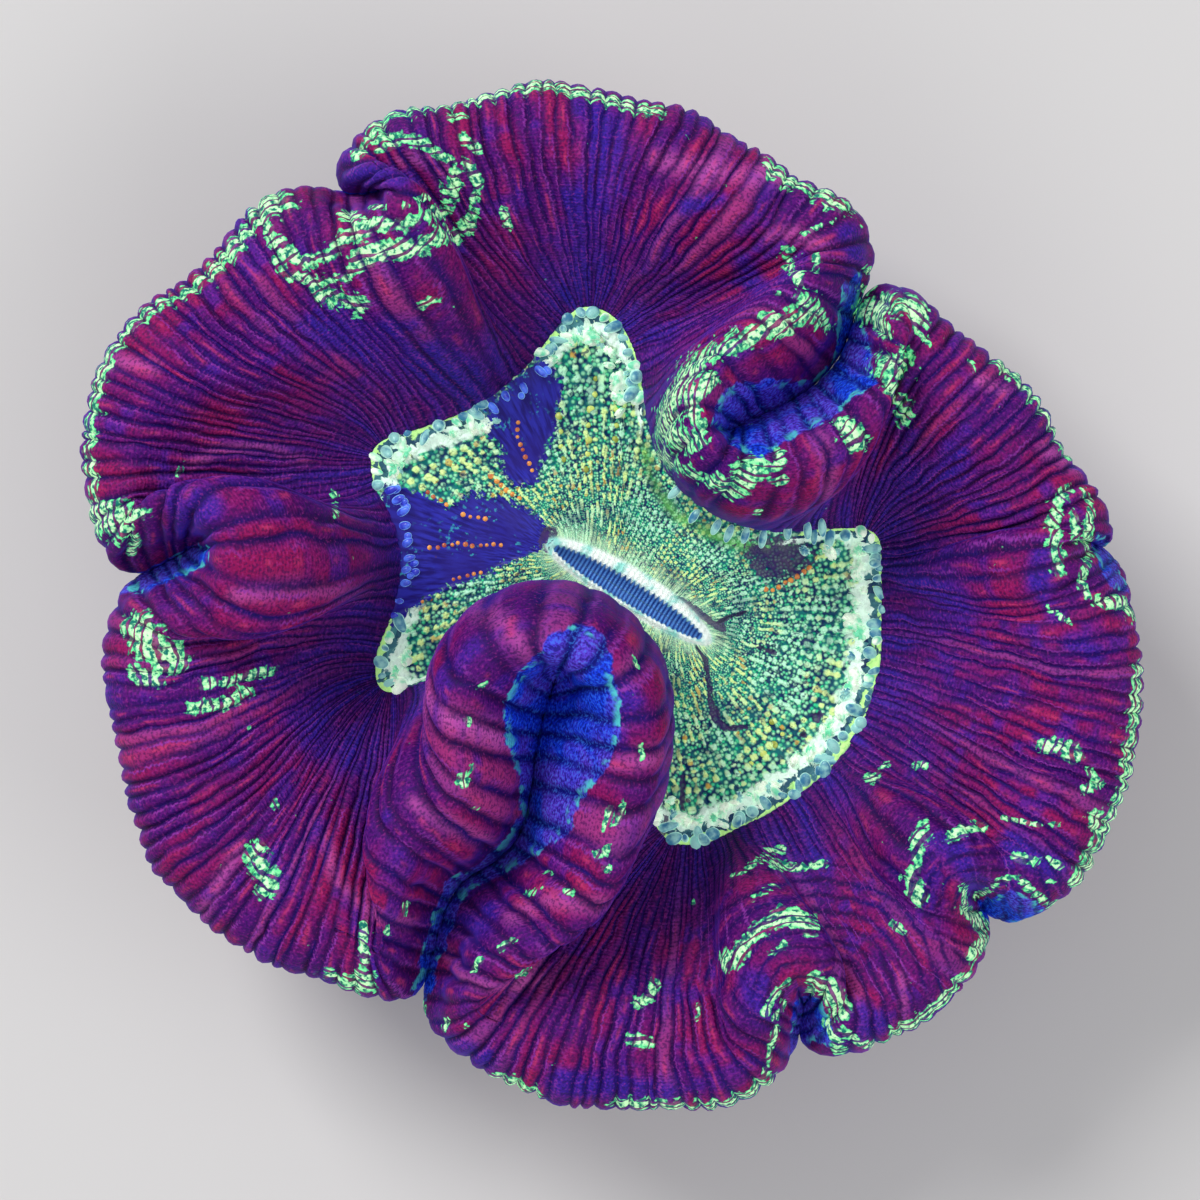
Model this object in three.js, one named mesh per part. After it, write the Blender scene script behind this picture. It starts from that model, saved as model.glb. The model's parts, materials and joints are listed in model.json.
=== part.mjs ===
// An open brain coral, a single fleshy polyp that lives on its own on the sea bed.
//
// A star-shaped oral disc with a slit mouth lies in the middle. Round it stands one wide ring of flesh, the
// mantle, which rises from the disc to a crest, rolls over and runs down an undercut outer wall to a flat
// cut at the base. The edge of the ring is pushed in at seven places. Each infold is a narrow groove with a
// swollen ridge round it.
//
// Every rib line of the coral is a chain of Bezier curves through five points that share one place round the
// ring: mouth, oral edge, crest, rim and base. The surface is the grid of those lines, closed into one solid.
// Units are millimetres, +Z is up, and the flat base lies on Z = 0.
import * as THREE from "three";

// Driving dimensions
const WIDTH = 90; // over the widest lobes, along X
const ORAL_EDGE_HEIGHT = 17; // where the oral disc meets the mantle
const DISC_HEIGHT = 15.2; // the low ring of the disc, between its edge and the lips
const LIP_HEIGHT = 16.6;
const MOUTH_DEPTH = 3.2; // below the lips
const BASE_RADIUS_X = 24;
const BASE_RADIUS_Y = 22.5;
const GROOVE_HALF_GAP = 0.55; // inside an infold, from its centre line to each wall
const STEEP_SHOULDER = 4; // how far an infold's ridge bulges past its crest where it stands over the disc
const RIM_DROP = 4.6; // from a lobe's crest down to its outermost edge
const GROOVE_DROP = 5.5; // from an infold's crest down to where its walls stand upright

// How finely the solid is faceted
const COLUMNS = 156;
const DISC_ROWS = 4;
const SLOPE_ROWS = 8;
const BROW_ROWS = 4;
const WALL_ROWS = 7;

// The lines round the ring are worked out at this many even steps, and evened out over so many steps
const SAMPLES = 624;
const TURN_SPREAD = 5;
const CREST_SPREAD = 3;
const SLOPE_SPREAD = 3;
const ORAL_SPREAD = 16;
const BASE_SPREAD = 24;

// The mouth is a slit: centre, half length, half width and the direction it runs in
const MOUTH = { x: 1.3, y: 0.7, halfLength: 7.3, halfWidth: 0.8, angle: THREE.MathUtils.degToRad(-31.5) };
const LIP_WIDTH = 1.5;

// Going anticlockwise from the right, each lobe gives the points that its edge passes through, the height of
// its crest, and how far inside the edge the crest lies from one end of the lobe to the other. The infold
// that follows gives its groove from the notch in the rim to the inner tip, and the distances from the groove
// to the crests on both sides of it. Its lists run from the notch to the tip: crestIn is for the side that is
// met first, and heights is for both. lean is how far the ridge hangs over the disc, and swell how broad it
// is, from 0 to 1.
const RING = [
  {
    lobe: "right",
    rim: [[34.5, -27], [38.5, -24.6], [41.2, -19.5], [43.2, -14], [44.6, -8.5], [45, -4], [44, -0.5]],
    height: 27,
    inset: [5, 5],
    infold: {
      groove: [[42.8, 3.5], [40.2, 5.2]],
      crestIn: [3, 4],
      crestOut: [3, 4],
      heights: [27, 28],
      lean: 0,
      swell: 0.5,
    },
  },
  {
    lobe: "upper right",
    rim: [[41.3, 8], [39, 13], [35.2, 17], [31, 21], [27.5, 25], [23.8, 27.3]],
    height: 27,
    inset: [4.5, 4.5],
    infold: {
      groove: [[21.7, 27.3], [20.2, 24], [19.4, 20.4], [15.5, 16.6], [9.8, 14.2]],
      crestIn: [3, 4.2, 4.6],
      crestOut: [3, 6, 5.4],
      heights: [28, 34],
      lean: 1,
      swell: 0.5,
    },
  },
  {
    lobe: "top",
    rim: [
      [22, 29.8], [19.3, 33.8], [14.6, 35.4], [9.5, 39.4], [4, 42.7], [-2, 43.7], [-9, 43.1],
      [-15.5, 41.7], [-20.5, 39.6], [-23.2, 36.4],
    ],
    height: 26,
    inset: [4.5, 4.5, 4.5, 1.8],
    infold: {
      groove: [[-23.2, 34.4], [-21.2, 34.2], [-19.4, 34.4]],
      crestIn: [1.8, 2, 3.4],
      crestOut: [3.2, 4, 5.2],
      heights: [28, 32],
      lean: 0,
      swell: 0.5,
    },
  },
  {
    lobe: "upper left",
    rim: [
      [-25, 34.6], [-28.6, 33.8], [-33.5, 29.6], [-38.5, 25.6], [-42, 21.5], [-44.4, 16], [-45, 10.5],
      [-44.2, 5.5], [-42.2, 2.4],
    ],
    height: 27,
    inset: [5, 5],
    infold: {
      groove: [[-41.2, 1.6], [-38.2, 3], [-35.2, 4.6]],
      crestIn: [3, 4.5, 6.5],
      crestOut: [3, 6, 7],
      heights: [27, 33],
      lean: 0,
      swell: 0.9,
    },
  },
  {
    lobe: "lower left",
    rim: [
      [-41.8, -0.2], [-43, -4.5], [-42.4, -11], [-40.6, -18], [-37, -24.4], [-33, -28.5], [-27, -31.3],
      [-21.5, -33.2], [-17.8, -33.6],
    ],
    height: 26,
    inset: [5, 5],
    infold: {
      groove: [
        [-16.6, -34.4], [-15, -29.5], [-13.2, -25], [-9, -21.6], [-7.2, -16.5], [-6.6, -10], [-4.4, -4.4],
      ],
      crestIn: [3, 5.5, 6, 4],
      crestOut: [3, 6, 8, 4],
      heights: [26, 30, 35],
      lean: 3,
      swell: 0.5,
    },
  },
  {
    lobe: "bottom",
    rim: [[-15.4, -36.8], [-11.5, -40.1], [-5.5, -42], [0, -43], [5.5, -43.6], [10.5, -42.2], [14, -39.6]],
    height: 25,
    inset: [5, 5],
    infold: {
      groove: [[15.6, -37.8], [16.2, -33.8]],
      crestIn: [3, 6],
      crestOut: [3, 6],
      heights: [26, 30],
      lean: 0,
      swell: 0.5,
    },
  },
  {
    lobe: "lower right",
    rim: [[17.5, -38], [21.8, -38], [26.5, -35.4], [30, -31.8], [31.5, -28.8]],
    height: 27,
    inset: [4, 4],
    infold: {
      groove: [[32.2, -27.2], [30.6, -24.9]],
      crestIn: [3, 4.5],
      crestOut: [3, 4.5],
      heights: [26, 29],
      lean: 0,
      swell: 0.5,
    },
  },
];

// The edge of the oral disc, anticlockwise from the right. Its corners reach out into the lobes.
const ORAL_EDGE = [
  [23, -3], [23, 2], [22.9, 6.6], [18.8, 6], [14.5, 5.6], [10, 6.6], [6, 9.2], [3.4, 13], [2.4, 18],
  [1.8, 22.3], [-0.6, 25.2], [-3.6, 25], [-5.8, 21.8], [-8.5, 18.4], [-13, 15.9], [-17.5, 14.3],
  [-21, 13.3], [-20.4, 10], [-18.3, 6.5], [-17.8, 2.2], [-18.8, -1.6], [-20.6, -5.8], [-19.6, -8.6],
  [-15.2, -6.4], [-11.3, -4], [-7, -1.9], [-3, -1.7], [0.2, -3.8], [2, -7.6], [2.4, -13], [2.8, -18],
  [5, -21.5], [9.5, -20], [14, -17.6], [18.6, -14.4], [22, -9.6],
];

const { lerp, smoothstep } = THREE.MathUtils;
const at = ([x, y]) => new THREE.Vector2(x, y);
const leftOf = (v) => new THREE.Vector2(-v.y, v.x).normalize();
const offset = (plan, direction, distance) => plan.clone().addScaledVector(direction, distance);
const forKeys = (record, make) => Object.fromEntries(Object.keys(record).map((key) => [key, make(key)]));
const around = (list, i) => list[(i + list.length) % list.length];

// A value read from a short list spread evenly over 0 to 1
function along(list, t) {
  const place = t * (list.length - 1);
  const i = Math.min(Math.floor(place), list.length - 2);
  return lerp(list[i], list[i + 1], place - i);
}

// One station round the ring. bx and by point to where its rib meets the base.
function station(rim, toBase, numbers) {
  const { x: bx, y: by } = toBase.clone().normalize();
  return { x: rim.x, y: rim.y, bx, by, ...numbers };
}

function lobeStations({ rim, height, inset }) {
  const shape = { height, drop: RIM_DROP, lean: 0, swell: 0 };
  return rim.map(at).map((p, i) => station(p, p, { ...shape, inset: along(inset, i / (rim.length - 1)) }));
}

// The stations of one infold: in along one wall of its groove, round the tip and out along the other wall
function infoldStations({ groove, crestIn, crestOut, heights, lean, swell }) {
  const line = groove.map(at);
  const last = line.length - 1;
  const inward = (i) => line[Math.min(i + 1, last)].clone().sub(line[Math.max(i - 1, 0)]).normalize();
  const wallStation = (p, t, inset) =>
    station(p, line[0], {
      height: along(heights, t),
      inset,
      drop: GROOVE_DROP + 0.7 * inset,
      lean: lean * smoothstep(t, 0.2, 0.9),
      swell,
    });
  const wall = (i, side, crest) => {
    const t = i / last;
    const gap = GROOVE_HALF_GAP * lerp(2, 1, smoothstep(t, 0, 0.4));
    return wallStation(offset(line[i], leftOf(inward(i)), side * gap), t, along(crest, t));
  };
  const tip = offset(line[last], inward(last), 2 * GROOVE_HALF_GAP);
  const way = [...line.keys()];
  return [
    ...way.map((i) => wall(i, 1, crestIn)),
    wallStation(tip, 1, (along(crestIn, 1) + along(crestOut, 1)) / 2),
    ...way.reverse().map((i) => wall(i, -1, crestOut)),
  ];
}

// A uniform cubic B-spline round a closed list of records
function splineRound(list, place) {
  const i = Math.floor(place);
  const f = place - i;
  const weights = [(1 - f) ** 3, 3 * f ** 3 - 6 * f ** 2 + 4, 3 * (f + f ** 2 - f ** 3) + 1, f ** 3];
  const near = (k) => around(list, i + k - 1);
  const sum = (key) => weights.reduce((total, weight, k) => total + weight * near(k)[key], 0);
  return forKeys(list[0], (key) => sum(key) / 6);
}

// Evens out a closed list of records. spread is how many places away a record still counts.
function smoothRound(list, spread) {
  let smooth = list;
  for (let pass = 0; pass < 2 * spread ** 2; pass++) {
    const before = smooth;
    smooth = before.map((record, i) => {
      const last = around(before, i - 1);
      const next = around(before, i + 1);
      return forKeys(record, (key) => (last[key] + 2 * record[key] + next[key]) / 4);
    });
  }
  return smooth;
}

function smoothPoints(points, spread) {
  const smooth = smoothRound(points.map(({ x, y }) => ({ x, y })), spread);
  return smooth.map(({ x, y }) => new THREE.Vector2(x, y));
}

// The places that divide a closed list evenly, where step gives the distance from one entry to the next
function evenPlaces(list, count, step) {
  const run = [0];
  list.forEach((_, i) => run.push(run[i] + step(list[i], around(list, i + 1))));
  let j = 0;
  return Array.from({ length: count }, (_, c) => {
    const want = (c / count) * run[list.length];
    while (run[j + 1] < want) j++;
    return j + (want - run[j]) / (run[j + 1] - run[j]);
  });
}

// The entry of a closed list of records at a place between two of them
function readRound(list, place) {
  const i = Math.floor(place);
  return forKeys(list[i], (key) => lerp(list[i][key], around(list, i + 1)[key], place - i));
}

// Moves places round a loop, given as shares of one turn, part of the way to an even spread
function evenShares(shares, spread, evenness) {
  let before = shares[0];
  const twists = shares.map((share, i) => {
    const twist = share - i / shares.length;
    before = twist - Math.round(twist - before);
    return { twist: before };
  });
  const mean = twists.reduce((sum, { twist }) => sum + twist, 0) / twists.length;
  return smoothRound(twists, spread).map(
    ({ twist }, i) => (i / shares.length + lerp(twist, mean, evenness) + 2) % 1,
  );
}

// The rim and, set in from it, the crest. Near a notch the way inwards turns gradually from the lobe's to the
// groove's. The records are spaced evenly along the crest, with a little weight on the rim.
function ringRecords() {
  const stations = RING.flatMap((part) => [...lobeStations(part), ...infoldStations(part.infold)]);
  const count = 12 * stations.length;
  const dense = Array.from({ length: count }, (_, i) => splineRound(stations, i / 12));
  const rimStep = (a, b) => Math.hypot(a.x - b.x, a.y - b.y);
  const records = evenPlaces(dense, SAMPLES, rimStep).map((place) => readRound(dense, place));
  const rim = records.map(({ x, y }) => new THREE.Vector2(x, y));
  const inward = rim.map((_, i) => leftOf(around(rim, i + 1).clone().sub(around(rim, i - 1))));
  const ways = smoothPoints(inward, TURN_SPREAD);
  const crest = ways.map((way, i) => offset(rim[i], way.normalize(), records[i].inset));
  const both = smoothPoints(crest, CREST_SPREAD).map(({ x, y }, i) => ({ ...records[i], cx: x, cy: y }));
  const step = (a, b) => Math.hypot(a.cx - b.cx, a.cy - b.cy) + 0.35 * rimStep(a, b);
  return evenPlaces(both, SAMPLES, step).map((place) => readRound(both, place));
}

// Each rib starts near the closest point of the oral edge. Evening out makes the ribs fan from the edge's
// corners.
function oralPoints(crest) {
  const edge = ORAL_EDGE.map(([x, y]) => ({ x, y }));
  const pointAt = (share) => {
    const { x, y } = splineRound(edge, share * edge.length);
    return new THREE.Vector2(x, y);
  };
  const dense = Array.from({ length: 400 }, (_, i) => pointAt(i / 400));
  const nearest = crest.map((p) => {
    const gaps = dense.map((q) => q.distanceTo(p));
    return gaps.indexOf(Math.min(...gaps)) / dense.length;
  });
  return evenShares(nearest, ORAL_SPREAD, 0.15).map(pointAt);
}

// Each rib runs over the disc to the slit of the mouth, which it reaches at about its own bearing
function mouthBearings(oral) {
  const centre = new THREE.Vector2(MOUTH.x, MOUTH.y);
  const bearings = oral.map((p) => {
    const { x, y } = p.clone().rotateAround(centre, -MOUTH.angle).sub(centre);
    return new THREE.Vector2(x / (MOUTH.halfLength + 6), y / (MOUTH.halfWidth + 6)).angle() / (2 * Math.PI);
  });
  return evenShares(bearings, ORAL_SPREAD, 0.3).map((share) => 2 * Math.PI * share);
}

// The base is an ellipse. Each rib reaches it at about its own bearing, or its infold's.
function basePoints(records) {
  const bearings = records.map(({ bx, by }) => new THREE.Vector2(bx, by).angle() / (2 * Math.PI));
  return evenShares(bearings, BASE_SPREAD, 0.35).map((share) => {
    const bearing = 2 * Math.PI * share;
    return new THREE.Vector2(BASE_RADIUS_X * Math.cos(bearing), BASE_RADIUS_Y * Math.sin(bearing));
  });
}

// How far each rib can run inwards from the crest before it meets a rib from across a valley: the radius of
// the largest circle that touches the crest there and crosses it nowhere
function valleyReach(crest, inward) {
  return crest.map((p, i) => {
    const radii = crest.map((q) => {
      const way = q.clone().sub(p);
      const depth = way.dot(inward[i]);
      return depth > 0.01 ? way.lengthSq() / (2 * depth) : Infinity;
    });
    return Math.min(...radii);
  });
}

// Where each rib is heading as it leaves the oral edge, and as it reaches the crest. Between lobes and
// infolds the ribs draw together into valleys. A steep rib hangs out over the disc before it rises.
function slopePoints(records, { crest, oral }) {
  const inward = crest.map((_, i) => leftOf(around(crest, i + 1).clone().sub(around(crest, i - 1))));
  const reach = valleyReach(crest, inward);
  const shapes = records.map(({ height, lean, swell }, i) => {
    const length = crest[i].distanceTo(oral[i]);
    const rise = height - ORAL_EDGE_HEIGHT;
    const steep = smoothstep(rise / length, 0.9, 2.2);
    const shoulder = lerp(lerp(0.4, 0.62, swell) * length, STEEP_SHOULDER, steep);
    return {
      foot: lerp(lerp(0.3, 0.2, swell) * length, -lean, steep),
      footRise: rise * lerp(lerp(0.3, 0.45, swell), 0.3, steep),
      shoulder: Math.min(shoulder, 0.8 * reach[i]),
    };
  });
  const outward = oral.map((_, i) => leftOf(around(oral, i + 1).clone().sub(around(oral, i - 1))).negate());
  return smoothRound(shapes, SLOPE_SPREAD).map(({ foot, footRise, shoulder }, i) => ({
    foot: offset(oral[i], outward[i], foot),
    footRise,
    shoulder: offset(crest[i], inward[i], shoulder),
  }));
}

const space = (plan, z) => new THREE.Vector3(plan.x, plan.y, z);
const bezier = (...points) => new THREE.CubicBezierCurve3(...points);

// A point on an oval round the slit of the mouth, grown from the slit by the given distance
function mouthPoint(bearing, grow) {
  const { x, y, halfLength, halfWidth, angle } = MOUTH;
  return new THREE.Vector2((halfLength + grow) * Math.cos(bearing), (halfWidth + grow) * Math.sin(bearing))
    .rotateAround(new THREE.Vector2(), angle)
    .add(new THREE.Vector2(x, y));
}

// The curves of one rib: over the disc, up the slope, over the brow and down the undercut outer wall
function ribCurves({ height, drop }, { rim, crest, oral, mouth, base, foot, shoulder, footRise }) {
  const lip = mouthPoint(mouth, LIP_WIDTH / 2);
  const hang = height - drop;
  const underBase = offset(base, base.clone().normalize(), 4);
  return {
    floor: space(mouthPoint(mouth, -MOUTH.halfWidth / 2), LIP_HEIGHT - MOUTH_DEPTH),
    disc: bezier(
      space(lip, LIP_HEIGHT),
      space(lip.clone().lerp(oral, 0.35), LIP_HEIGHT - 0.4),
      space(oral.clone().lerp(lip, 0.3), DISC_HEIGHT),
      space(oral, ORAL_EDGE_HEIGHT),
    ),
    slope: bezier(
      space(oral, ORAL_EDGE_HEIGHT),
      space(foot, ORAL_EDGE_HEIGHT + footRise),
      space(shoulder, height),
      space(crest, height),
    ),
    brow: bezier(
      space(crest, height),
      space(crest.clone().lerp(rim, 0.55), height),
      space(rim, height - 0.4 * drop),
      space(rim, hang),
    ),
    wall: bezier(space(rim, hang), space(rim, 0.72 * hang), space(underBase, 0.3 * hang), space(base, 0)),
  };
}

// Every rib of the ring, evenly spaced, as a list of points from the mouth to the base
function ribs() {
  const records = ringRecords();
  const rim = records.map(({ x, y }) => new THREE.Vector2(x, y));
  const crest = records.map(({ cx, cy }) => new THREE.Vector2(cx, cy));
  const oral = oralPoints(crest);
  const mouths = mouthBearings(oral);
  const bases = basePoints(records);
  const slopes = slopePoints(records, { crest, oral });
  return Array.from({ length: COLUMNS }, (_, column) => {
    const i = Math.round((column * SAMPLES) / COLUMNS) % SAMPLES;
    const ends = { rim: rim[i], crest: crest[i], oral: oral[i], mouth: mouths[i], base: bases[i] };
    const { floor, disc, slope, brow, wall } = ribCurves(records[i], { ...ends, ...slopes[i] });
    return [
      floor,
      ...disc.getPoints(DISC_ROWS),
      ...slope.getPoints(SLOPE_ROWS).slice(1),
      ...brow.getPoints(BROW_ROWS).slice(1),
      ...wall.getPoints(WALL_ROWS).slice(1),
    ];
  });
}

// The grid of ribs, closed by a fan over the floor of the mouth and one over the base
function coralGeometry() {
  const lines = ribs();
  const rows = lines[0].length;
  const points = [
    ...lines.flat(),
    new THREE.Vector3(MOUTH.x, MOUTH.y, LIP_HEIGHT - MOUTH_DEPTH),
    new THREE.Vector3(0, 0, 0),
  ];
  const floorCentre = points.length - 2;
  const baseCentre = points.length - 1;
  const faces = [];
  for (let c = 0; c < COLUMNS; c++) {
    const here = c * rows;
    const next = ((c + 1) % COLUMNS) * rows;
    faces.push(floorCentre, here, next);
    for (let r = 0; r < rows - 1; r++) {
      faces.push(here + r, here + r + 1, next + r + 1);
      faces.push(here + r, next + r + 1, next + r);
    }
    faces.push(here + rows - 1, baseCentre, next + rows - 1);
  }
  return fitToWidth(new THREE.BufferGeometry().setFromPoints(points).setIndex(faces));
}

// Scales the solid to its driving width and centres it over the origin, with its base on Z = 0
function fitToWidth(geometry) {
  geometry.computeBoundingBox();
  const { min, max } = geometry.boundingBox;
  geometry.translate(-(min.x + max.x) / 2, -(min.y + max.y) / 2, 0);
  const factor = WIDTH / (max.x - min.x);
  geometry.scale(factor, factor, factor);
  geometry.computeVertexNormals();
  return geometry;
}

const flesh = new THREE.MeshStandardMaterial({ color: 0x7a1c4e, roughness: 0.55, metalness: 0 });
const coral = new THREE.Mesh(coralGeometry(), flesh);
coral.name = "coral";

const group = new THREE.Group();
group.add(coral);

export default group;
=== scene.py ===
import json
import math
import random

import bpy
import numpy as np
from mathutils import Matrix, Vector

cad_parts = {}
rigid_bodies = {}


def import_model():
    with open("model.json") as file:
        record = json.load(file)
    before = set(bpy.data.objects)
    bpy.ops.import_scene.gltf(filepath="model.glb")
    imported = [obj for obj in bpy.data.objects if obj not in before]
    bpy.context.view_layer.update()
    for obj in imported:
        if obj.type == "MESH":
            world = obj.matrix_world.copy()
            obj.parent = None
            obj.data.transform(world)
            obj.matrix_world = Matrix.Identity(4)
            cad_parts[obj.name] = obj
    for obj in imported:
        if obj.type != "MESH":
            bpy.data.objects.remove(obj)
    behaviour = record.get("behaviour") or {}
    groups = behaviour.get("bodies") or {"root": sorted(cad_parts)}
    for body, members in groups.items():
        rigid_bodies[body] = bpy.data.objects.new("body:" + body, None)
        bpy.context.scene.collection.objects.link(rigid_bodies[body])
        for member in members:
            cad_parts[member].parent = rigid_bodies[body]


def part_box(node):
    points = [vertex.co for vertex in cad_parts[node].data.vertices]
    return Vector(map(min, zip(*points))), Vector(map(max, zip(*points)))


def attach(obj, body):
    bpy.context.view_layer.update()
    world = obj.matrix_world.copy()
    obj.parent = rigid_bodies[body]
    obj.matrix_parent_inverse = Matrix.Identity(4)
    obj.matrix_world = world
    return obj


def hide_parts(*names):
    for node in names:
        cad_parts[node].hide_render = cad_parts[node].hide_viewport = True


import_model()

random.seed(11)
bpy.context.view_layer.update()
coralLow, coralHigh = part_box("coral")
print("frame loaded")

# The soft lines that the whole coral follows, in millimetres. The ring lists its lobes anticlockwise from
# the right. Each lobe ends in a groove, whose lists run from the notch in the rim to the inner tip.
coral = {
    "oralHeight": 17,  # of the edge of the oral disc
    "discHeight": 15.2,  # of its sunken middle
    "lipHeight": 16.6,
    "baseRadii": (24, 22.5),
    "grooveHalfGap": 0.55,
    "steepShoulder": 4,
    "rimDrop": 4.6,  # from crest to rim
    "grooveDrop": 5.5,
    "shutFrom": 2.6,  # the walls of a groove press together from this far above the rim
    "shutShare": 1.1,
    "samples": 624,  # stations round the ring
    "mouthCentre": (1.3, 0.7),
    "mouthHalf": (7.3, 0.8),
    "mouthAngle": -31.5,
    "ring": [
        {"rim": [(34.5, -27), (38.5, -24.6), (41.2, -19.5), (43.2, -14), (44.6, -8.5), (45, -4), (44, -0.5)],
         "height": 27, "inset": [5, 5],
         "groove": [(42.8, 3.5), (40.2, 5.2)],
         "crestIn": [3, 4], "crestOut": [3, 4], "heights": [27, 28], "lean": 0, "swell": 0.5},
        {"rim": [(41.3, 8), (39, 13), (35.2, 17), (31, 21), (27.5, 25), (23.8, 27.3)],
         "height": 27, "inset": [4.5, 4.5],
         "groove": [(21.7, 27.3), (20.2, 24), (19.4, 20.4), (15.5, 16.6), (9.8, 14.2)],
         "crestIn": [3, 4.2, 4.6], "crestOut": [3, 6, 5.4], "heights": [28, 34], "lean": 1, "swell": 0.5},
        {"rim": [(22, 29.8), (19.3, 33.8), (14.6, 35.4), (9.5, 39.4), (4, 42.7), (-2, 43.7), (-9, 43.1),
                 (-15.5, 41.7), (-20.5, 39.6), (-23.2, 36.4)],
         "height": 26, "inset": [4.5, 4.5, 4.5, 1.8],
         "groove": [(-23.2, 34.4), (-21.2, 34.2), (-19.4, 34.4)],
         "crestIn": [1.8, 2, 3.4], "crestOut": [3.2, 4, 5.2], "heights": [28, 32], "lean": 0, "swell": 0.5},
        {"rim": [(-25, 34.6), (-28.6, 33.8), (-33.5, 29.6), (-38.5, 25.6), (-42, 21.5), (-44.4, 16),
                 (-45, 10.5), (-44.2, 5.5), (-42.2, 2.4)],
         "height": 27, "inset": [5, 5],
         "groove": [(-41.2, 1.6), (-38.2, 3), (-35.2, 4.6)],
         "crestIn": [3, 4.5, 6.5], "crestOut": [3, 6, 7], "heights": [27, 33], "lean": 0, "swell": 0.9},
        {"rim": [(-41.8, -0.2), (-43, -4.5), (-42.4, -11), (-40.6, -18), (-37, -24.4), (-33, -28.5),
                 (-27, -31.3), (-21.5, -33.2), (-17.8, -33.6)],
         "height": 26, "inset": [5, 5],
         "groove": [(-16.6, -34.4), (-15.2, -29.5), (-14, -25), (-12, -23), (-9.2, -21.8), (-7.4, -19),
                    (-6.8, -15), (-6.4, -11), (-4.8, -6.6)],
         "crestIn": [3, 5.5, 6, 5.2, 7.6], "crestOut": [3, 6, 7.6, 7.2, 7.6], "heights": [26, 30, 34],
         "lean": 5, "swell": 0.5},
        {"rim": [(-15.4, -36.8), (-11.5, -40.1), (-5.5, -42), (0, -43), (5.5, -43.6), (10.5, -42.2),
                 (14, -39.6)],
         "height": 25, "inset": [5, 5],
         "groove": [(15.6, -37.8), (16.2, -33.8)],
         "crestIn": [3, 6], "crestOut": [3, 6], "heights": [26, 30], "lean": 0, "swell": 0.5},
        {"rim": [(17.5, -38), (21.8, -38), (26.5, -35.4), (30, -31.8), (31.5, -28.8)],
         "height": 27, "inset": [4, 4],
         "groove": [(32.2, -27.2), (30.6, -24.9)],
         "crestIn": [3, 4.5], "crestOut": [3, 4.5], "heights": [26, 29], "lean": 0, "swell": 0.5},
    ],
    # the edge of the oral disc, whose corners reach out into the lobes
    "oralEdge": [
        (23, -3), (23, 2), (22.9, 6.6), (18.8, 6), (14.5, 5.6), (10, 6.6), (6, 9.2), (3.4, 13), (2.4, 18),
        (1.8, 22.3), (-0.6, 25.2), (-3.6, 25), (-5.8, 21.8), (-8.5, 18.4), (-13, 15.9), (-17.5, 14.3),
        (-21, 13.3), (-20.4, 10), (-18.3, 6.5), (-17.8, 2.2), (-18.8, -1.6), (-20.6, -5.8), (-19.6, -8.6),
        (-15.2, -6.4), (-11.3, -3), (-7, -0.7), (-3, -0.6), (0.4, -3.7), (2, -7.6), (2.4, -13), (2.8, -18),
        (5, -21.5), (9.5, -20), (14, -17.6), (18.6, -14.4), (22, -9.6),
    ],
}


def along(values, t):
    return np.interp(t, np.linspace(0, 1, len(values)), values)


def smoothStep(x, start, end):
    t = np.clip((np.asarray(x, float) - start) / (end - start), 0, 1)
    return t * t * (3 - 2 * t)


def mix(a, b, t):
    return a + (b - a) * t


def unit(v):
    return v / np.maximum(np.linalg.norm(v, axis=-1, keepdims=True), 1e-9)


def leftOf(v):
    return unit(np.stack([-v[..., 1], v[..., 0]], -1))


def turned(v, angle):
    c, s = math.cos(angle), math.sin(angle)
    return np.stack([c * v[..., 0] - s * v[..., 1], s * v[..., 0] + c * v[..., 1]], -1)


def around(points):
    return np.roll(points, -1, 0) - np.roll(points, 1, 0)


# A smooth closed curve near its points, read at places between 0 and their number
def splineRound(points, places):
    points = np.asarray(points, float)
    i = np.floor(places).astype(int)
    f = (places - i).reshape((-1,) + (1,) * (points.ndim - 1))
    weights = [(1 - f) ** 3, 3 * f ** 3 - 6 * f ** 2 + 4, 3 * (f + f ** 2 - f ** 3) + 1, f ** 3]
    return sum(w * points[(i + k - 1) % len(points)] for k, w in enumerate(weights)) / 6


def smoothRound(values, spread):
    for _ in range(2 * spread ** 2):
        values = (np.roll(values, 1, 0) + 2 * values + np.roll(values, -1, 0)) / 4
    return values


def evenPlaces(steps, count):
    run = np.concatenate([[0], np.cumsum(steps)])
    return np.interp(np.arange(count) / count * run[-1], run, np.arange(len(run)))


def readRound(values, places):
    i = np.floor(places).astype(int)
    f = (places - i).reshape((-1,) + (1,) * (values.ndim - 1))
    return values[i % len(values)] * (1 - f) + values[(i + 1) % len(values)] * f


# Moves places round a loop, given as shares of a turn, part of the way to an even spread
def evenShares(shares, spread, evenness):
    even = np.arange(len(shares)) / len(shares)
    twist = np.unwrap((shares - even) * 2 * math.pi) / (2 * math.pi)
    mean = twist.mean()
    return (even + mix(smoothRound(twist, spread), mean, evenness)) % 1


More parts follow.
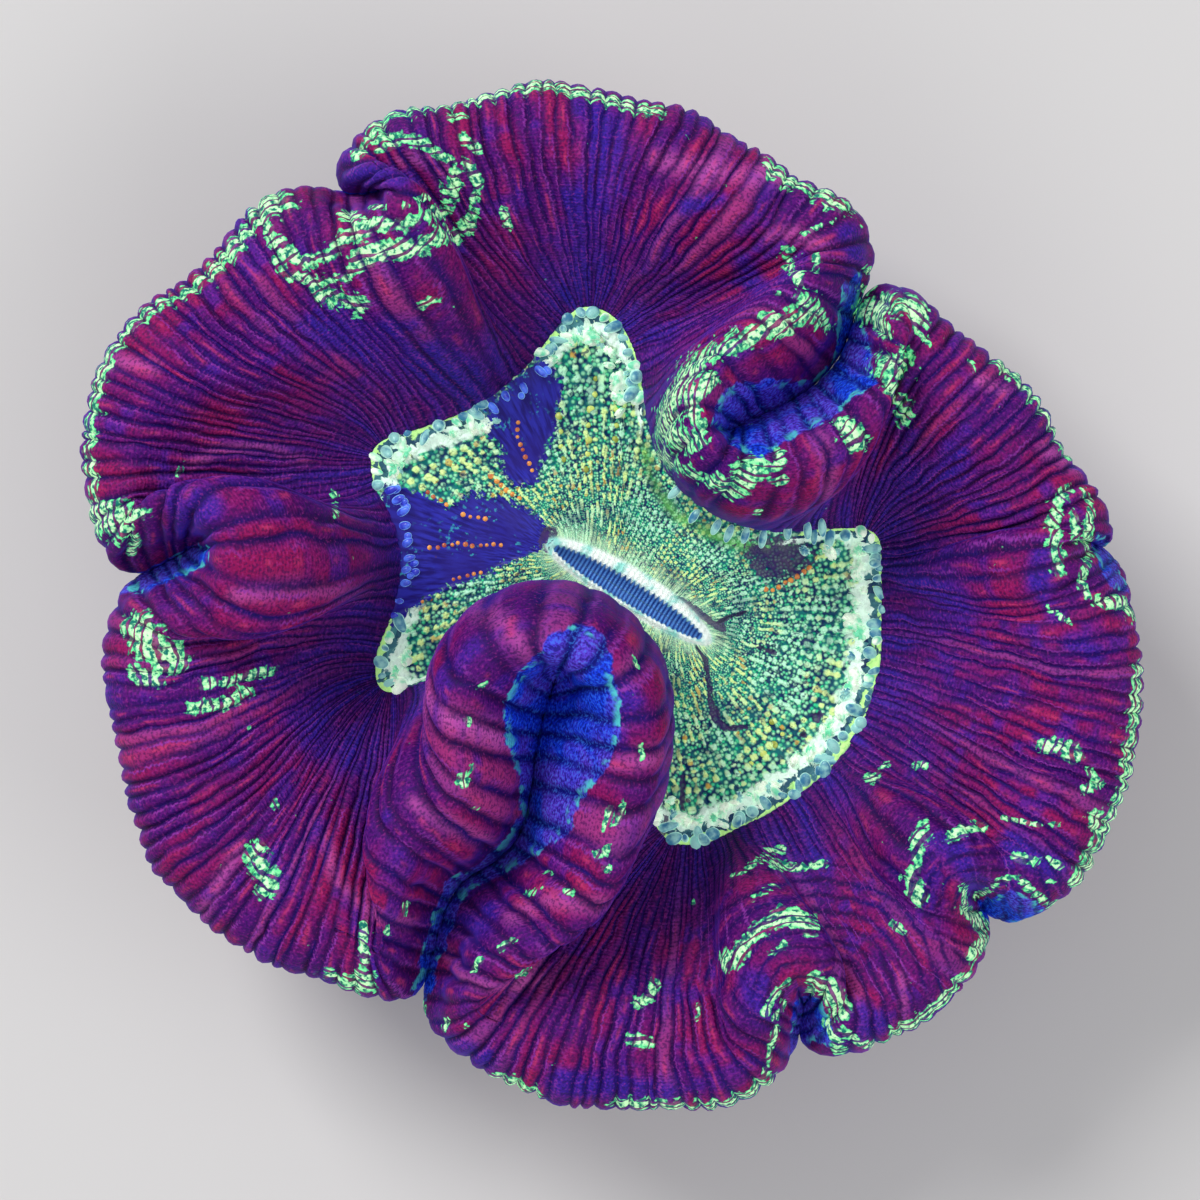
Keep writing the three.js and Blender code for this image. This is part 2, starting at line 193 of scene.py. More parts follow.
# One row of numbers for each station round the rim: x, y, towards the base x and y, crest height, how far
# in the crest lies, drop to the rim, lean, swell, 1 inside a groove, and the way to the groove's middle
def ringStations():
    gapAtTip = coral["grooveHalfGap"]
    rows = []
    for part in coral["ring"]:
        for i, p in enumerate(part["rim"]):
            toBase = unit(np.array(p, float))
            inset = along(part["inset"], i / (len(part["rim"]) - 1))
            rows.append([*p, *toBase, part["height"], inset, coral["rimDrop"], 0, 0, 0, 0, 0])
        line = np.array(part["groove"], float)
        last = len(line) - 1
        toBase = unit(line[0])

        def wallStation(middle, way, t, inset):
            lean = part["lean"] * smoothStep(t, 0.2, 0.9)
            drop = coral["grooveDrop"] + 0.7 * inset
            height = along(part["heights"], t)
            rows.append([*(middle + way), *toBase, height, inset, drop, lean, part["swell"], 1, *(-way)])

        def inward(i):
            return unit(line[min(i + 1, last)] - line[max(i - 1, 0)])

        def wall(i, side, crest):
            gap = gapAtTip * (1.6 - 0.6 * smoothStep(i / last, 0, 0.4))
            wallStation(line[i], leftOf(inward(i)) * gap * side, i / last, along(crest, i / last))

        for i in range(last + 1):
            wall(i, 1, part["crestIn"])
        crestAtTip = (part["crestIn"][-1] + part["crestOut"][-1]) / 2
        wallStation(line[last], inward(last) * 2 * gapAtTip, 1, crestAtTip)
        for i in reversed(range(last + 1)):
            wall(i, -1, part["crestOut"])
    return np.array(rows, float)


def mouthPoint(bearing, grow):
    half = np.array(coral["mouthHalf"]) + np.reshape(grow, (-1, 1))
    oval = half * np.stack([np.cos(bearing), np.sin(bearing)], -1)
    return turned(oval, math.radians(coral["mouthAngle"])) + np.array(coral["mouthCentre"])


def mouthBearings(oral):
    local = turned(oral - np.array(coral["mouthCentre"]), -math.radians(coral["mouthAngle"]))
    local = local / (np.array(coral["mouthHalf"]) + 6)
    share = np.arctan2(local[:, 1], local[:, 0]) / (2 * math.pi) % 1
    return evenShares(share, 16, 0.3) * 2 * math.pi


# The oral edge as many close points, and the steps between them
def denseOralEdge(count=2000):
    edge = coral["oralEdge"]
    dense = splineRound(edge, np.arange(count) / count * len(edge))
    return dense, np.linalg.norm(np.roll(dense, -1, 0) - dense, axis=1)


# The lines round the ring that every rib passes through: oral edge, foot, shoulder, crest, rim and base
def ringLines():
    stations = ringStations()
    dense = splineRound(stations, np.arange(len(stations) * 12) / 12)
    step = np.linalg.norm(np.roll(dense, -1, 0)[:, :2] - dense[:, :2], axis=1)
    records = readRound(dense, evenPlaces(step, coral["samples"]))
    inward = leftOf(around(records[:, :2]))
    crest = smoothRound(records[:, :2] + unit(smoothRound(inward, 5)) * records[:, 5:6], 3)
    both = np.hstack([records, crest])
    after = np.roll(both, -1, 0)
    step = np.linalg.norm(after[:, 12:] - both[:, 12:], axis=1)
    step += 0.35 * np.linalg.norm(after[:, :2] - both[:, :2], axis=1)
    both = readRound(both, evenPlaces(step, coral["samples"]))
    rim, crest = both[:, :2], both[:, 12:]
    height, _, drop, lean, swell, fold = both[:, 4:10].T
    dense, _ = denseOralEdge(400)
    nearest = np.argmin(np.linalg.norm(crest[:, None] - dense[None], axis=2), axis=1) / len(dense)
    oral = splineRound(coral["oralEdge"], evenShares(nearest, 16, 0.15) * len(coral["oralEdge"]))
    share = np.arctan2(both[:, 3], both[:, 2]) / (2 * math.pi) % 1
    share = evenShares(share, 24, 0.35) * 2 * math.pi
    base = np.stack([np.cos(share), np.sin(share)], 1) * coral["baseRadii"]
    # how far a rib can run in from its crest before it meets one from across a valley
    inward = leftOf(around(crest))
    way = crest[None] - crest[:, None]
    depth = np.einsum("ijk,ik->ij", way, inward)
    radii = np.where(depth > 0.01, (way ** 2).sum(2) / (2 * np.maximum(depth, 0.01)), 1e9)
    length = np.linalg.norm(crest - oral, axis=1)
    rise = height - coral["oralHeight"]
    steep = smoothStep(rise / length, 0.9, 2.2)
    shoulder = mix(mix(0.4, 0.62, swell) * length, coral["steepShoulder"], steep)
    shoulder = np.minimum(shoulder, 0.8 * radii.min(1))
    foot = mix(mix(0.3, 0.2, swell) * length, -lean, steep)
    footRise = rise * mix(mix(0.3, 0.45, swell), 0.3, steep)
    foot, footRise, shoulder = smoothRound(np.stack([foot, footRise, shoulder], 1), 3).T
    return {
        "rim": rim, "crest": crest, "oral": oral, "base": base, "mouth": mouthBearings(oral),
        "height": height, "drop": drop, "lean": lean, "fold": fold, "close": both[:, 10:12],
        "foot": oral - leftOf(around(oral)) * foot[:, None], "footRise": footRise,
        "shoulder": crest + inward * shoulder[:, None],
    }


def lift(plan, z):
    z = np.broadcast_to(np.asarray(z, float).reshape(-1, 1), (len(plan), 1))
    return np.concatenate([plan, z], 1)


def bezier(points, t):
    a, b, c, d = [p[:, None] for p in points]
    t = np.asarray(t, float)[None, :, None]
    return (1 - t) ** 3 * a + 3 * (1 - t) ** 2 * t * b + 3 * (1 - t) * t * t * c + t ** 3 * d


# Numbers from 0 to 1 that look random and are the same for the same whole numbers
def scatter(a, b, salt):
    return np.modf(np.abs(np.sin(a * 127.1 + b * 311.7 + salt * 74.7) * 43758.5453))[0]


def lineGap(plan, a, b):
    t = np.clip(((plan - a) @ (b - a)) / ((b - a) @ (b - a)), 0, 1)
    return np.linalg.norm(plan - a - t[:, None] * (b - a), axis=1)


# Each stroke is its half width and the points it runs through. The mask is 1 on the line, a third at the
# half width and 0 well past it.
def strokeMask(plan, strokes):
    mask = np.zeros(len(plan))
    for width, *points in strokes:
        points = np.array(points, float)
        if len(points) == 1:
            points = np.vstack([points, points + 0.01])
        for a, b in zip(points[:-1], points[1:]):
            mask = np.maximum(mask, 1 - 0.66 * lineGap(plan, a, b) / width)
    return mask


# Each area is the softness of its edge and its corners. The mask is a half on the edge and 1 inside.
def areaMask(plan, areas):
    mask = np.zeros(len(plan))
    for soft, *corners in areas:
        corners = np.array(corners, float)
        inside = np.zeros(len(plan), bool)
        gap = np.full(len(plan), 1e9)
        for a, b in zip(corners, np.roll(corners, -1, 0)):
            gap = np.minimum(gap, lineGap(plan, a, b))
            crosses = (a[1] > plan[:, 1]) != (b[1] > plan[:, 1])
            slant = (b[0] - a[0]) / (b[1] - a[1] + 1e-9)
            inside ^= crosses & (plan[:, 0] < a[0] + (plan[:, 1] - a[1]) * slant)
        mask = np.maximum(mask, 0.5 + np.where(inside, gap, -gap) / (2 * soft))
    return np.clip(mask, 0, 1)


lines = ringLines()


# The smooth surface from the oral edge over the crest to the base, at places round the ring
def fleshSurface(places, slopeSteps, browSteps, wallSteps):
    at = {name: splineRound(values, places) for name, values in lines.items() if name != "mouth"}
    height, drop, fold = at["height"], at["drop"], at["fold"]
    hang = height - drop
    oralHeight = coral["oralHeight"]
    out = unit(at["base"])
    early, late = mix(0.55, 0.34, fold)[:, None], mix(1, 0.8, fold)[:, None]
    slope = bezier([lift(at["oral"], oralHeight), lift(at["foot"], oralHeight + at["footRise"]),
                    lift(at["shoulder"], height), lift(at["crest"], height)], slopeSteps)
    brow = bezier([lift(at["crest"], height), lift(mix(at["crest"], at["rim"], early), height),
                   lift(mix(at["crest"], at["rim"], late), height - mix(0.4, 0.5, fold) * drop),
                   lift(at["rim"], hang)], browSteps)
    wall = bezier([lift(at["rim"], hang), lift(at["rim"], 0.72 * hang),
                   lift(at["base"] + out * 4, 0.3 * hang), lift(at["base"], 0)], wallSteps)
    whole = np.concatenate([slope, brow, wall], 1)
    under = hang[:, None] + coral["shutFrom"] - whole[..., 2]
    shut = smoothStep(under, 0, 2.4) * (1 - smoothStep(under, 15, 23))
    shut[:, :slope.shape[1]] = 0
    whole[..., :2] += coral["shutShare"] * at["close"][:, None] * shut[..., None]
    return whole


# The plain surface has the size of the CAD solid, so both are fitted to the frame in the same way
smooth = fleshSurface(np.arange(coral["samples"]) + 0.0, np.linspace(0, 1, 9), np.linspace(0, 1, 5)[1:],
                      np.linspace(0, 1, 8)[1:])
lowest, highest = smooth.min((0, 1)), smooth.max((0, 1))
fitCentre = np.array([(lowest[0] + highest[0]) / 2, (lowest[1] + highest[1]) / 2, 0])
fitFactor = (coralHigh.x - coralLow.x) / (highest[0] - lowest[0])


def toFrame(points):
    return (np.asarray(points, float) - fitCentre) * fitFactor


# A closed skin over a grid of points, one column after another round the ring, with a fan at both ends.
# acrossUv and alongUv have one column more than the points, which closes the ring.
def gridPiece(name, points, acrossUv, alongUv, masks, startPoint, endPoint):
    columns, rows = points.shape[:2]
    verts = np.concatenate([points.reshape(-1, 3), [startPoint], [endPoint]])
    c, r = np.meshgrid(np.arange(columns), np.arange(rows - 1), indexing="ij")
    c, r = c.ravel(), r.ravel()
    after = (c + 1) % columns
    quads = np.stack([c * rows + r, c * rows + r + 1, after * rows + r + 1, after * rows + r], 1)
    ring = np.arange(columns)
    nextRing = (ring + 1) % columns
    start = np.stack([np.full(columns, len(verts) - 2), ring * rows, nextRing * rows], 1)
    last = rows - 1
    end = np.stack([ring * rows + last, np.full(columns, len(verts) - 1), nextRing * rows + last], 1)
    mesh = bpy.data.meshes.new(name)
    mesh.vertices.add(len(verts))
    mesh.vertices.foreach_set("co", toFrame(verts).ravel())
    corners = np.concatenate([quads.ravel(), start.ravel(), end.ravel()])
    sizes = np.concatenate([np.full(len(quads), 4), np.full(2 * columns, 3)])
    mesh.loops.add(len(corners))
    mesh.loops.foreach_set("vertex_index", corners)
    mesh.polygons.add(len(sizes))
    mesh.polygons.foreach_set("loop_start", np.concatenate([[0], np.cumsum(sizes)[:-1]]))
    mesh.polygons.foreach_set("loop_total", sizes)
    mesh.polygons.foreach_set("use_smooth", np.ones(len(sizes), bool))
    mesh.update(calc_edges=True)
    quadColumns = np.stack([c, c, c + 1, c + 1], 1)
    quadRows = np.stack([r, r + 1, r + 1, r], 1)
    fan = np.stack([ring, ring, ring + 1], 1)
    uv = [np.concatenate([values[quadColumns, quadRows].ravel(), values[fan, 0].ravel(),
                          values[fan, last].ravel()]) for values in (acrossUv, alongUv)]
    mesh.uv_layers.new(name="run").data.foreach_set("uv", np.stack(uv, 1).ravel())
    for mask, values in masks.items():
        layer = mesh.attributes.new(mask, "FLOAT", "POINT")
        layer.data.foreach_set("value", np.concatenate([values.ravel(), [0, 0]]))
    piece = bpy.data.objects.new(name, mesh)
    bpy.context.scene.collection.objects.link(piece)
    return piece


def putNode(tree, kind, inputs=None, **settings):
    made = tree.nodes.new(kind)
    for name, value in settings.items():
        setattr(made, name, value)
    for name, value in (inputs or {}).items():
        if isinstance(value, bpy.types.NodeSocket):
            tree.links.new(value, made.inputs[name])
        else:
            made.inputs[name].default_value = value
    return made


def maths(tree, operation, a, b=0.0, c=0.0, clamp=False):
    made = putNode(tree, "ShaderNodeMath", {0: a, 1: b, 2: c}, operation=operation, use_clamp=clamp)
    return made.outputs[0]


def span(tree, value, start, end, toStart=0.0, toEnd=1.0):
    inputs = {"Value": value, "From Min": start, "From Max": end, "To Min": toStart, "To Max": toEnd}
    return putNode(tree, "ShaderNodeMapRange", inputs, interpolation_type="SMOOTHSTEP").outputs["Result"]


def blendColour(tree, share, a, b):
    return putNode(tree, "ShaderNodeMix", {0: share, 6: a, 7: b}, data_type="RGBA").outputs[2]


def noise(tree, vector, scale, detail=2.0, distortion=0.0):
    inputs = {"Vector": vector, "Scale": scale, "Detail": detail, "Distortion": distortion}
    return putNode(tree, "ShaderNodeTexNoise", inputs).outputs[0]


# Noise drawn out along the ribs or rows that the piece's own UV map counts
def runNoise(tree, run, across, along, scale=1.0, detail=2.0):
    drawnOut = putNode(tree, "ShaderNodeMapping", {"Vector": run, "Scale": (across, along, 1)}).outputs[0]
    return noise(tree, drawnOut, scale, detail)


def bumpNormal(tree, height, strength, distance):
    inputs = {"Height": height, "Strength": strength, "Distance": distance}
    return putNode(tree, "ShaderNodeBump", inputs).outputs[0]


def attribute(tree, name):
    return putNode(tree, "ShaderNodeAttribute", attribute_name=name).outputs["Fac"]


# A screen colour in 255ths, as the linear colour that sockets take
def tone(red, green, blue):
    shares = [v / 255 for v in (red, green, blue)]
    linear = [v / 12.92 if v <= 0.04045 else ((v + 0.055) / 1.055) ** 2.4 for v in shares]
    return (*linear, 1)


def newGroup(name, inputs, outputs):
    group = bpy.data.node_groups.new(name, "ShaderNodeTree")
    for socket, kind, value in inputs:
        made = group.interface.new_socket(socket, in_out="INPUT", socket_type="NodeSocket" + kind)
        if value is not None:
            made.default_value = value
    for socket, kind in outputs:
        group.interface.new_socket(socket, in_out="OUTPUT", socket_type="NodeSocket" + kind)
    return group, group.nodes.new("NodeGroupInput").outputs, group.nodes.new("NodeGroupOutput").inputs


# Fine cross wrinkles of living skin. The vector counts ribs across and millimetres along.
def makeSkinWrinkles():
    inputs = [("Run", "Vector", None), ("Place", "Vector", None), ("Scale", "Float", 1.0)]
    group, given, result = newGroup("skinWrinkles", inputs, [("Height", "Float"), ("Mottle", "Float")])
    scaled = putNode(group, "ShaderNodeVectorMath", {0: given["Run"], "Scale": given["Scale"]},
                     operation="SCALE").outputs[0]
    waves = {"Vector": scaled, "Scale": 0.5, "Distortion": 2.4, "Detail": 2.0, "Detail Scale": 1.3}
    ripples = putNode(group, "ShaderNodeTexWave", waves, bands_direction="Y").outputs["Fac"]
    grit = noise(group, given["Place"], 3600, 2)
    group.links.new(maths(group, "MULTIPLY_ADD", ripples, 0.22, grit), result["Height"])
    soft = maths(group, "MULTIPLY_ADD", grit, 0.96, maths(group, "MULTIPLY", ripples, 0.06))
    group.links.new(soft, result["Mottle"])
    return group


# Turns a soft mask into a patch with a torn edge, and its core. The shift grows or shrinks the whole patch.
def makeTornPatch():
    inputs = [("Mask", "Float", 0.0), ("Vector", "Vector", None), ("Scale", "Float", 1.0),
              ("Tear", "Float", 0.5), ("Shift", "Float", 0.0)]
    group, given, result = newGroup("tornPatch", inputs, [("Patch", "Float"), ("Core", "Float")])
    rough = noise(group, given["Vector"], given["Scale"], 3, 0.4)
    torn = maths(group, "MULTIPLY_ADD", maths(group, "SUBTRACT", rough, 0.5), given["Tear"], given["Mask"])
    near = maths(group, "MULTIPLY", given["Mask"], 2.0, clamp=True)
    torn = maths(group, "MULTIPLY_ADD", given["Shift"], near, torn)
    group.links.new(span(group, torn, 0.36, 0.48), result["Patch"])
    group.links.new(span(group, torn, 0.45, 0.85), result["Core"])
    return group


# Small round grains with dark gaps between them
def makeGrains():
    group, given, result = newGroup("grains", [("Vector", "Vector", None), ("Scale", "Float", 1.0)],
                                    [("Grain", "Float"), ("Pick", "Float")])
    inputs = {"Vector": given["Vector"], "Scale": given["Scale"], "Randomness": 0.85}
    cells = putNode(group, "ShaderNodeTexVoronoi", inputs, voronoi_dimensions="2D")
    pick = putNode(group, "ShaderNodeSeparateColor", {0: cells.outputs["Color"]}).outputs[0]
    group.links.new(span(group, cells.outputs["Distance"], 0.6, 0.1), result["Grain"])
    group.links.new(pick, result["Pick"])
    return group


skinWrinkles = makeSkinWrinkles()
tornPatch = makeTornPatch()
grains = makeGrains()


def newMaterial(name, colour, roughness):
    material = bpy.data.materials.new(name)
    material.use_nodes = True
    material.diffuse_color = colour
    shader = material.node_tree.nodes["Principled BSDF"]
    shader.inputs["Roughness"].default_value = roughness
    return material, material.node_tree, shader


def useGroup(tree, group, inputs):
    return putNode(tree, "ShaderNodeGroup", inputs, node_tree=group).outputs


mantle = {
    "ribs": 260,
    "across": (0, 0.13, 0.37, 0.63, 0.87),  # where each rib's lines lie, as shares of its width
    "foldBreadth": (0.3, 0.52),  # how much fewer ribs the folds have, and those that lean over the disc
    "slopeRows": 41,
    "browRows": 17,
    "wallRows": 13,
    "relief": 0.5,
    # the parts of the rim that carry a green line: from and to in degrees round from the right, and how
    # far in from the rim the line lies
    "rimLines": [(128, 172, 2.9), (82, 119, 2.3), (-33, -5, 1.8), (-60, -44, 2), (-92, -69, 2),
                 (-106, -97, 2), (17, 34, 1.8), (57, 72, 2.2)],
    "rimWidth": 0.95,
    "archPitch": 1.25,  # from one arched rib to the next
    "arches": [(16.8, -34, 2, 11.5), (31, -26.5, 1.5, 6.5)],  # middle x and y, and from and to how far out
    "floorGap": 0.8,
    "glow": 0.28,
    "shine": 0.14,
    # green strokes: half width, then the points each runs through
    "green": [
        # round the spiral hollow at the upper left
        (1.1, (-29.8, 32.2), (-28, 33.4), (-27, 33)), (0.5, (-28.9, 31.4), (-28.2, 29.6)),
        (0.75, (-28, 29.8), (-26.4, 28.5), (-25, 28), (-23.6, 28.6), (-22.4, 29.8), (-20.6, 30.4)),
        (0.5, (-28.2, 28.4), (-27, 27), (-24.5, 26.4), (-22.4, 26.8), (-21, 27.4)),
        (0.9, (-21, 28.2), (-19, 28.7), (-17, 28.8), (-15.2, 29.4), (-13.4, 30.3), (-12, 31.6)),
        (0.6, (-20.4, 30.9), (-18, 30.8), (-16, 31), (-14.5, 32), (-13.4, 33.6), (-13.1, 35), (-13.3, 36.4),
         (-14.8, 37.4), (-16.8, 38.3), (-18.6, 38.7), (-20.4, 38.2), (-21.3, 37)),
        (0.6, (-12.2, 31.4), (-11.6, 33), (-11.3, 34.8), (-12.2, 36.4)),
        (0.4, (-19.6, 37.4), (-17.8, 37.9)),
        (1.0, (-24.3, 25.6), (-22.6, 25), (-21, 24.5)), (0.35, (-16, 24.4), (-14.6, 24.9)),
        (0.5, (-12.6, 38.6), (-11.4, 37.6)), (0.45, (-13.6, 40.2), (-12.2, 40.4)),
        (0.4, (-9.1, 32.6), (-8.8, 31.2)),
        (0.3, (-14.3, 34.8), (-14.2, 33.4)), (0.25, (-17, 32.3), (-15.2, 33.2)),
        (0.6, (-22.4, 32), (-21.2, 31.6)),
        (0.3, (-20, 32.5), (-18.8, 32.2)), (0.5, (-19.4, 39.6), (-20.4, 38.6)),
        # the outer edges of the lobes
        (1.8, (-43, 7.2), (-41, 6.6)), (0.6, (-40, 7), (-38.3, 7.4)), (0.4, (-40.4, 4), (-39.6, 5.2)),
        (0.2, (-23.6, 9.5), (-23.3, 8), (-23, 7)), (0.2, (-36.4, 10.3), (-35.2, 12)),
        (1.5, (-39.3, -2.2), (-38.4, -3.8), (-36.8, -4.8)), (0.8, (-39.6, -6), (-38, -6.8)),
        (0.6, (-34.4, -7), (-31, -6.5), (-28.6, -5.9)), (0.7, (-35, -8.8), (-32.6, -8.5), (-30.6, -7.5)),
        (0.4, (-30.2, -10.5)), (0.45, (-28.2, -17)), (1.2, (-29.6, -21), (-29.2, -22.4), (-28.9, -23.6)),
        (0.3, (-17.2, -25.2), (-17.3, -26)), (0.25, (-18.8, -27), (-18.8, -27.8)),
        (0.4, (-20.8, -27), (-20.7, -30)), (1.0, (-23.8, -31.2), (-22.4, -32), (-20.6, -31.8)),
        (0.4, (-16.9, -32.6)), (0.35, (-16.4, -33.6), (-16.2, -35)), (0.25, (-14.2, -35.9), (-13.8, -35.2)),
        (0.25, (-12.4, -35.6)), (0.8, (-9.4, -40.2), (-7.6, -40.8)),
        # the lower left fold
        (0.6, (-12.4, -14.8)), (0.35, (-11.5, -13.6)), (0.3, (-11.3, -17)), (0.35, (-10.7, -7)),
        (0.35, (-11.8, -9.7)), (0.35, (-0.3, -17), (-0.5, -18.6)), (0.4, (-1.4, -20.8), (-0.6, -20.6)),
        (0.3, (0.9, -16.6), (0.4, -18)), (0.4, (-0.5, -22)), (0.4, (-5.2, -22.6)), (0.55, (-3.7, -24)),
        (0.35, (-7, -24.4), (-6.5, -24)), (0.3, (-9.4, -29), (-8.5, -28)),
        (0.3, (-11.6, -30.8), (-11.1, -29.6)),
        (0.35, (-7.9, -31.1), (-7.2, -30.9)), (0.25, (1.6, -4.4), (1.9, -5.6)),
        (0.25, (2.1, -11.6), (2.5, -12.8)),
        (0.25, (-7.5, -1.8)),
        # the upper right fold
        (1.15, (16.4, 23.6), (13.5, 22.8), (12, 22), (10, 21), (8, 20.3), (6.4, 19.2)),
        (1.0, (6.2, 19), (5.2, 17.4), (4.3, 15.6), (4.6, 13.8), (6, 12.8), (7.2, 12.9)),
        (0.7, (8.2, 18.2), (6.7, 17), (6.4, 15.6), (7.2, 14.4)), (0.6, (4.2, 12.2), (5.5, 11), (7, 10.2)),
        (0.8, (8.4, 9.8), (9.6, 9.2)), (1.25, (10.6, 10), (11.3, 10.7)), (0.4, (5.8, 8.3)),
        (0.3, (12, 7.3)),
        (0.5, (13.7, 12.2), (13.4, 11)), (0.45, (14, 10), (13.4, 9.8)), (1.1, (18.9, 14.1), (19.9, 13.2)),
        (0.6, (14.6, 29), (14.6, 27.6), (15.4, 26.4)), (0.4, (16.9, 28.6), (16.7, 27.4)),
        (1.1, (15.4, 24.9), (16.6, 24.2), (17.3, 23.2)), (0.4, (13.6, 25.2)),
        (0.25, (15.6, 30.4), (18.6, 31.8)),
        (0.8, (18.2, 33), (19.6, 33)), (0.4, (16.4, 33.6)), (0.35, (20.3, 32.3)), (0.35, (20.9, 31)),
        (0.4, (21.2, 27.8), (22.4, 27.4)), (0.4, (20.6, 26.4), (22, 26.3)),
        (1.2, (21.4, 24.2), (23, 24.8), (24.6, 24.2), (25.4, 23.6)), (0.6, (22.1, 23.2), (22.4, 22)),
        (0.3, (25.2, 26.3), (26.8, 25.1)), (0.3, (25.2, 22.4), (26.1, 21.4)),
        (1.5, (22.6, 19.4), (23.8, 19.6)), (0.9, (22.9, 17.6), (24.2, 16.2), (24.1, 15.2)),
        (0.3, (29.4, 19.9), (30, 19.2)), (0.6, (37.8, 12.8), (38.2, 12.2)),
        # the right lobe
        (0.75, (37.8, 9.4), (36.8, 8), (36.4, 6.4), (36.7, 4.6), (36.9, 2.6)),
        (0.4, (38.2, 7.4), (38.4, 4.8)),
        (0.55, (39.2, 9.2), (39.8, 7.6), (39.4, 5.6), (39.8, 4), (38.9, 2)),
        (0.6, (38.9, 1.6), (39.3, 0.4), (41, -0.1), (42.4, -0.2), (43.4, -1.2)),
        (0.2, (35.8, -0.3), (38, -2)),
        (0.8, (35.8, -12), (37.2, -12.2), (38.4, -12.9)), (0.45, (39.6, -14.2), (40.4, -15), (39.2, -15.6)),
        (0.4, (41.8, -16.3)), (0.9, (40, -18.2), (40.3, -19.6), (39.8, -22), (38.8, -23.4)),
        (0.5, (43.6, -9.6)),
        # the lower right folds
        (0.45, (21.4, -15), (22.4, -14.8), (23, -14)), (0.35, (25.5, -14.1), (26.3, -13.7)),
        (0.8, (25.7, -18.7), (25.1, -20.6), (24.8, -23), (25.4, -24.6)),
        (0.6, (28, -19.5), (29, -18.9), (30.6, -18.8)),
        (0.2, (32.4, -18), (35.4, -18.6)), (0.35, (36.2, -18.4), (37, -18.5)),
        (0.5, (33.4, -21.3), (35, -21.4)),
        (0.35, (36, -21.4), (37, -22)), (0.3, (36, -23.2), (36.6, -23.3)),
        (0.4, (30.5, -25), (31.4, -24), (32, -23.2), (33.5, -22.9), (34.5, -23.8), (35.6, -24.7),
         (36.6, -25.4),
         (37.8, -25.2)),
        (0.6, (29, -24), (29.3, -25.5), (30.2, -26.5), (31.2, -27.4), (31, -28.6), (29.8, -29.4)),
        (0.25, (10, -23.2), (11.5, -22.3), (13, -21.3), (14.5, -21)),
        (0.4, (13.6, -22.2), (15.6, -22.5), (17.8, -22.1)),
        (0.2, (11.4, -25), (13.4, -23.6)), (0.35, (6.8, -25.4)),
        (0.85, (9.6, -30), (10.6, -28.8), (12, -27.2), (13.6, -26.2), (15, -26.1), (16.4, -26.8)),
        (0.4, (13, -29), (14.4, -28.2)), (0.4, (12.6, -34), (13.3, -32.6), (14.5, -31.2)),
        (0.3, (13.4, -34.6), (14.3, -33.2)), (0.4, (12.6, -40), (13, -38), (13.6, -35.6)),
        (0.9, (16.8, -31.2), (17.6, -32), (18.5, -33), (19, -34)), (0.5, (16.4, -32.4)),
        (0.55, (18, -35), (18.5, -36.5), (19, -37.6)),
        (0.35, (19, -35.4), (20.5, -36.9), (22.5, -37.2), (23.6, -36.6)),
        (0.45, (23.3, -27), (24, -27.5)), (0.55, (1.9, -33.6), (2.8, -33.2), (3.5, -32.3)),
        (0.6, (1.5, -36.6), (3, -36.8)), (0.2, (7.2, -33.8), (7, -35)),
    ],
    # blue basins: softness of the edge, then the corners
    "blue": [
        (1.0, (-2.9, -1.8), (-4.9, -2.8), (-6.2, -4.5), (-7.8, -6.2), (-8.7, -8.2), (-8.9, -10.3),
         (-8.2, -13.2),
         (-7.6, -15.3), (-7.6, -18.2), (-9, -20.1), (-11.6, -22.6), (-13.9, -23.6), (-15, -26),
         (-15.8, -29.6),
         (-16.9, -33.6), (-15.8, -33.6), (-14.4, -29.4), (-13.2, -26.2), (-12.6, -24.6), (-9.7, -23),
         (-7.8, -22.1),
         (-5.1, -19.9), (-3.6, -19), (-3.3, -17.2), (-2, -15.1), (-0.4, -13.6), (0.35, -11.1), (0.5, -8.6),
         (-0.2, -6.6), (-0.2, -4.7), (-1, -2.8)),
        (0.9, (8.1, 14.6), (10.5, 12.3), (12, 11.8), (14, 13), (16, 14.3), (18, 15.1), (19.2, 16.6),
         (21.6, 17.9),
         (21.2, 19.2), (21.3, 21), (21, 23), (20.6, 25.4), (20.6, 27.4), (19.2, 26), (18.8, 23.4),
         (19, 21.6),
         (18.4, 20), (17, 18.6), (15.4, 18.1), (13, 18.1), (10.6, 17.9), (9, 17.1)),
        (0.8, (40.3, 5.6), (42.2, 4.6), (42.6, 2.2), (43.3, 0.9), (41.4, 1.2), (40.7, 2.8)),
        (0.8, (-36.6, 3.6), (-39.6, 2.3), (-41.6, 0.7), (-39, 0.9), (-36, 2.2), (-33.4, 3), (-33.4, 4.4),
         (-35, 4.6)),
        (0.8, (15.2, -33.4), (16.9, -33), (18, -35), (18.3, -37.2), (16.8, -36.8), (15.8, -37.9),
         (15, -38.4),
         (15, -36)),
        (0.8, (30.9, -25.4), (33, -24.2), (34.6, -24.8), (36.2, -26), (34.5, -27.3), (32.5, -27),
         (31.2, -26.6)),
    ],
    # soft changes of tone: towards blue violet, and towards pale pink
    "tint": [
        (2.6, (-2.4, 27), (-2, 33), (-0.5, 39)), (2.6, (-24, 22.6), (-18, 21), (-11, 17)),
        (2.0, (24.5, 4), (29, -1)),
        (2.4, (23, 8.5), (28, 11.5)), (1.6, (-4.5, -40.4), (4, -41)), (1.2, (-13.4, -37.2), (-10.6, -38.4)),
        (2.2, (-20, -6), (-26, -10), (-22, -13)), (1.6, (-15, -27.5), (-11, -26.6)),
        (1.6, (11.4, -31.4), (12.6, -34)),
        (1.2, (20.6, -34), (22, -35.4)), (1.4, (28.6, -20.8), (29.8, -23.6)),
        (1.6, (33.4, -20.4), (36.6, -22)),
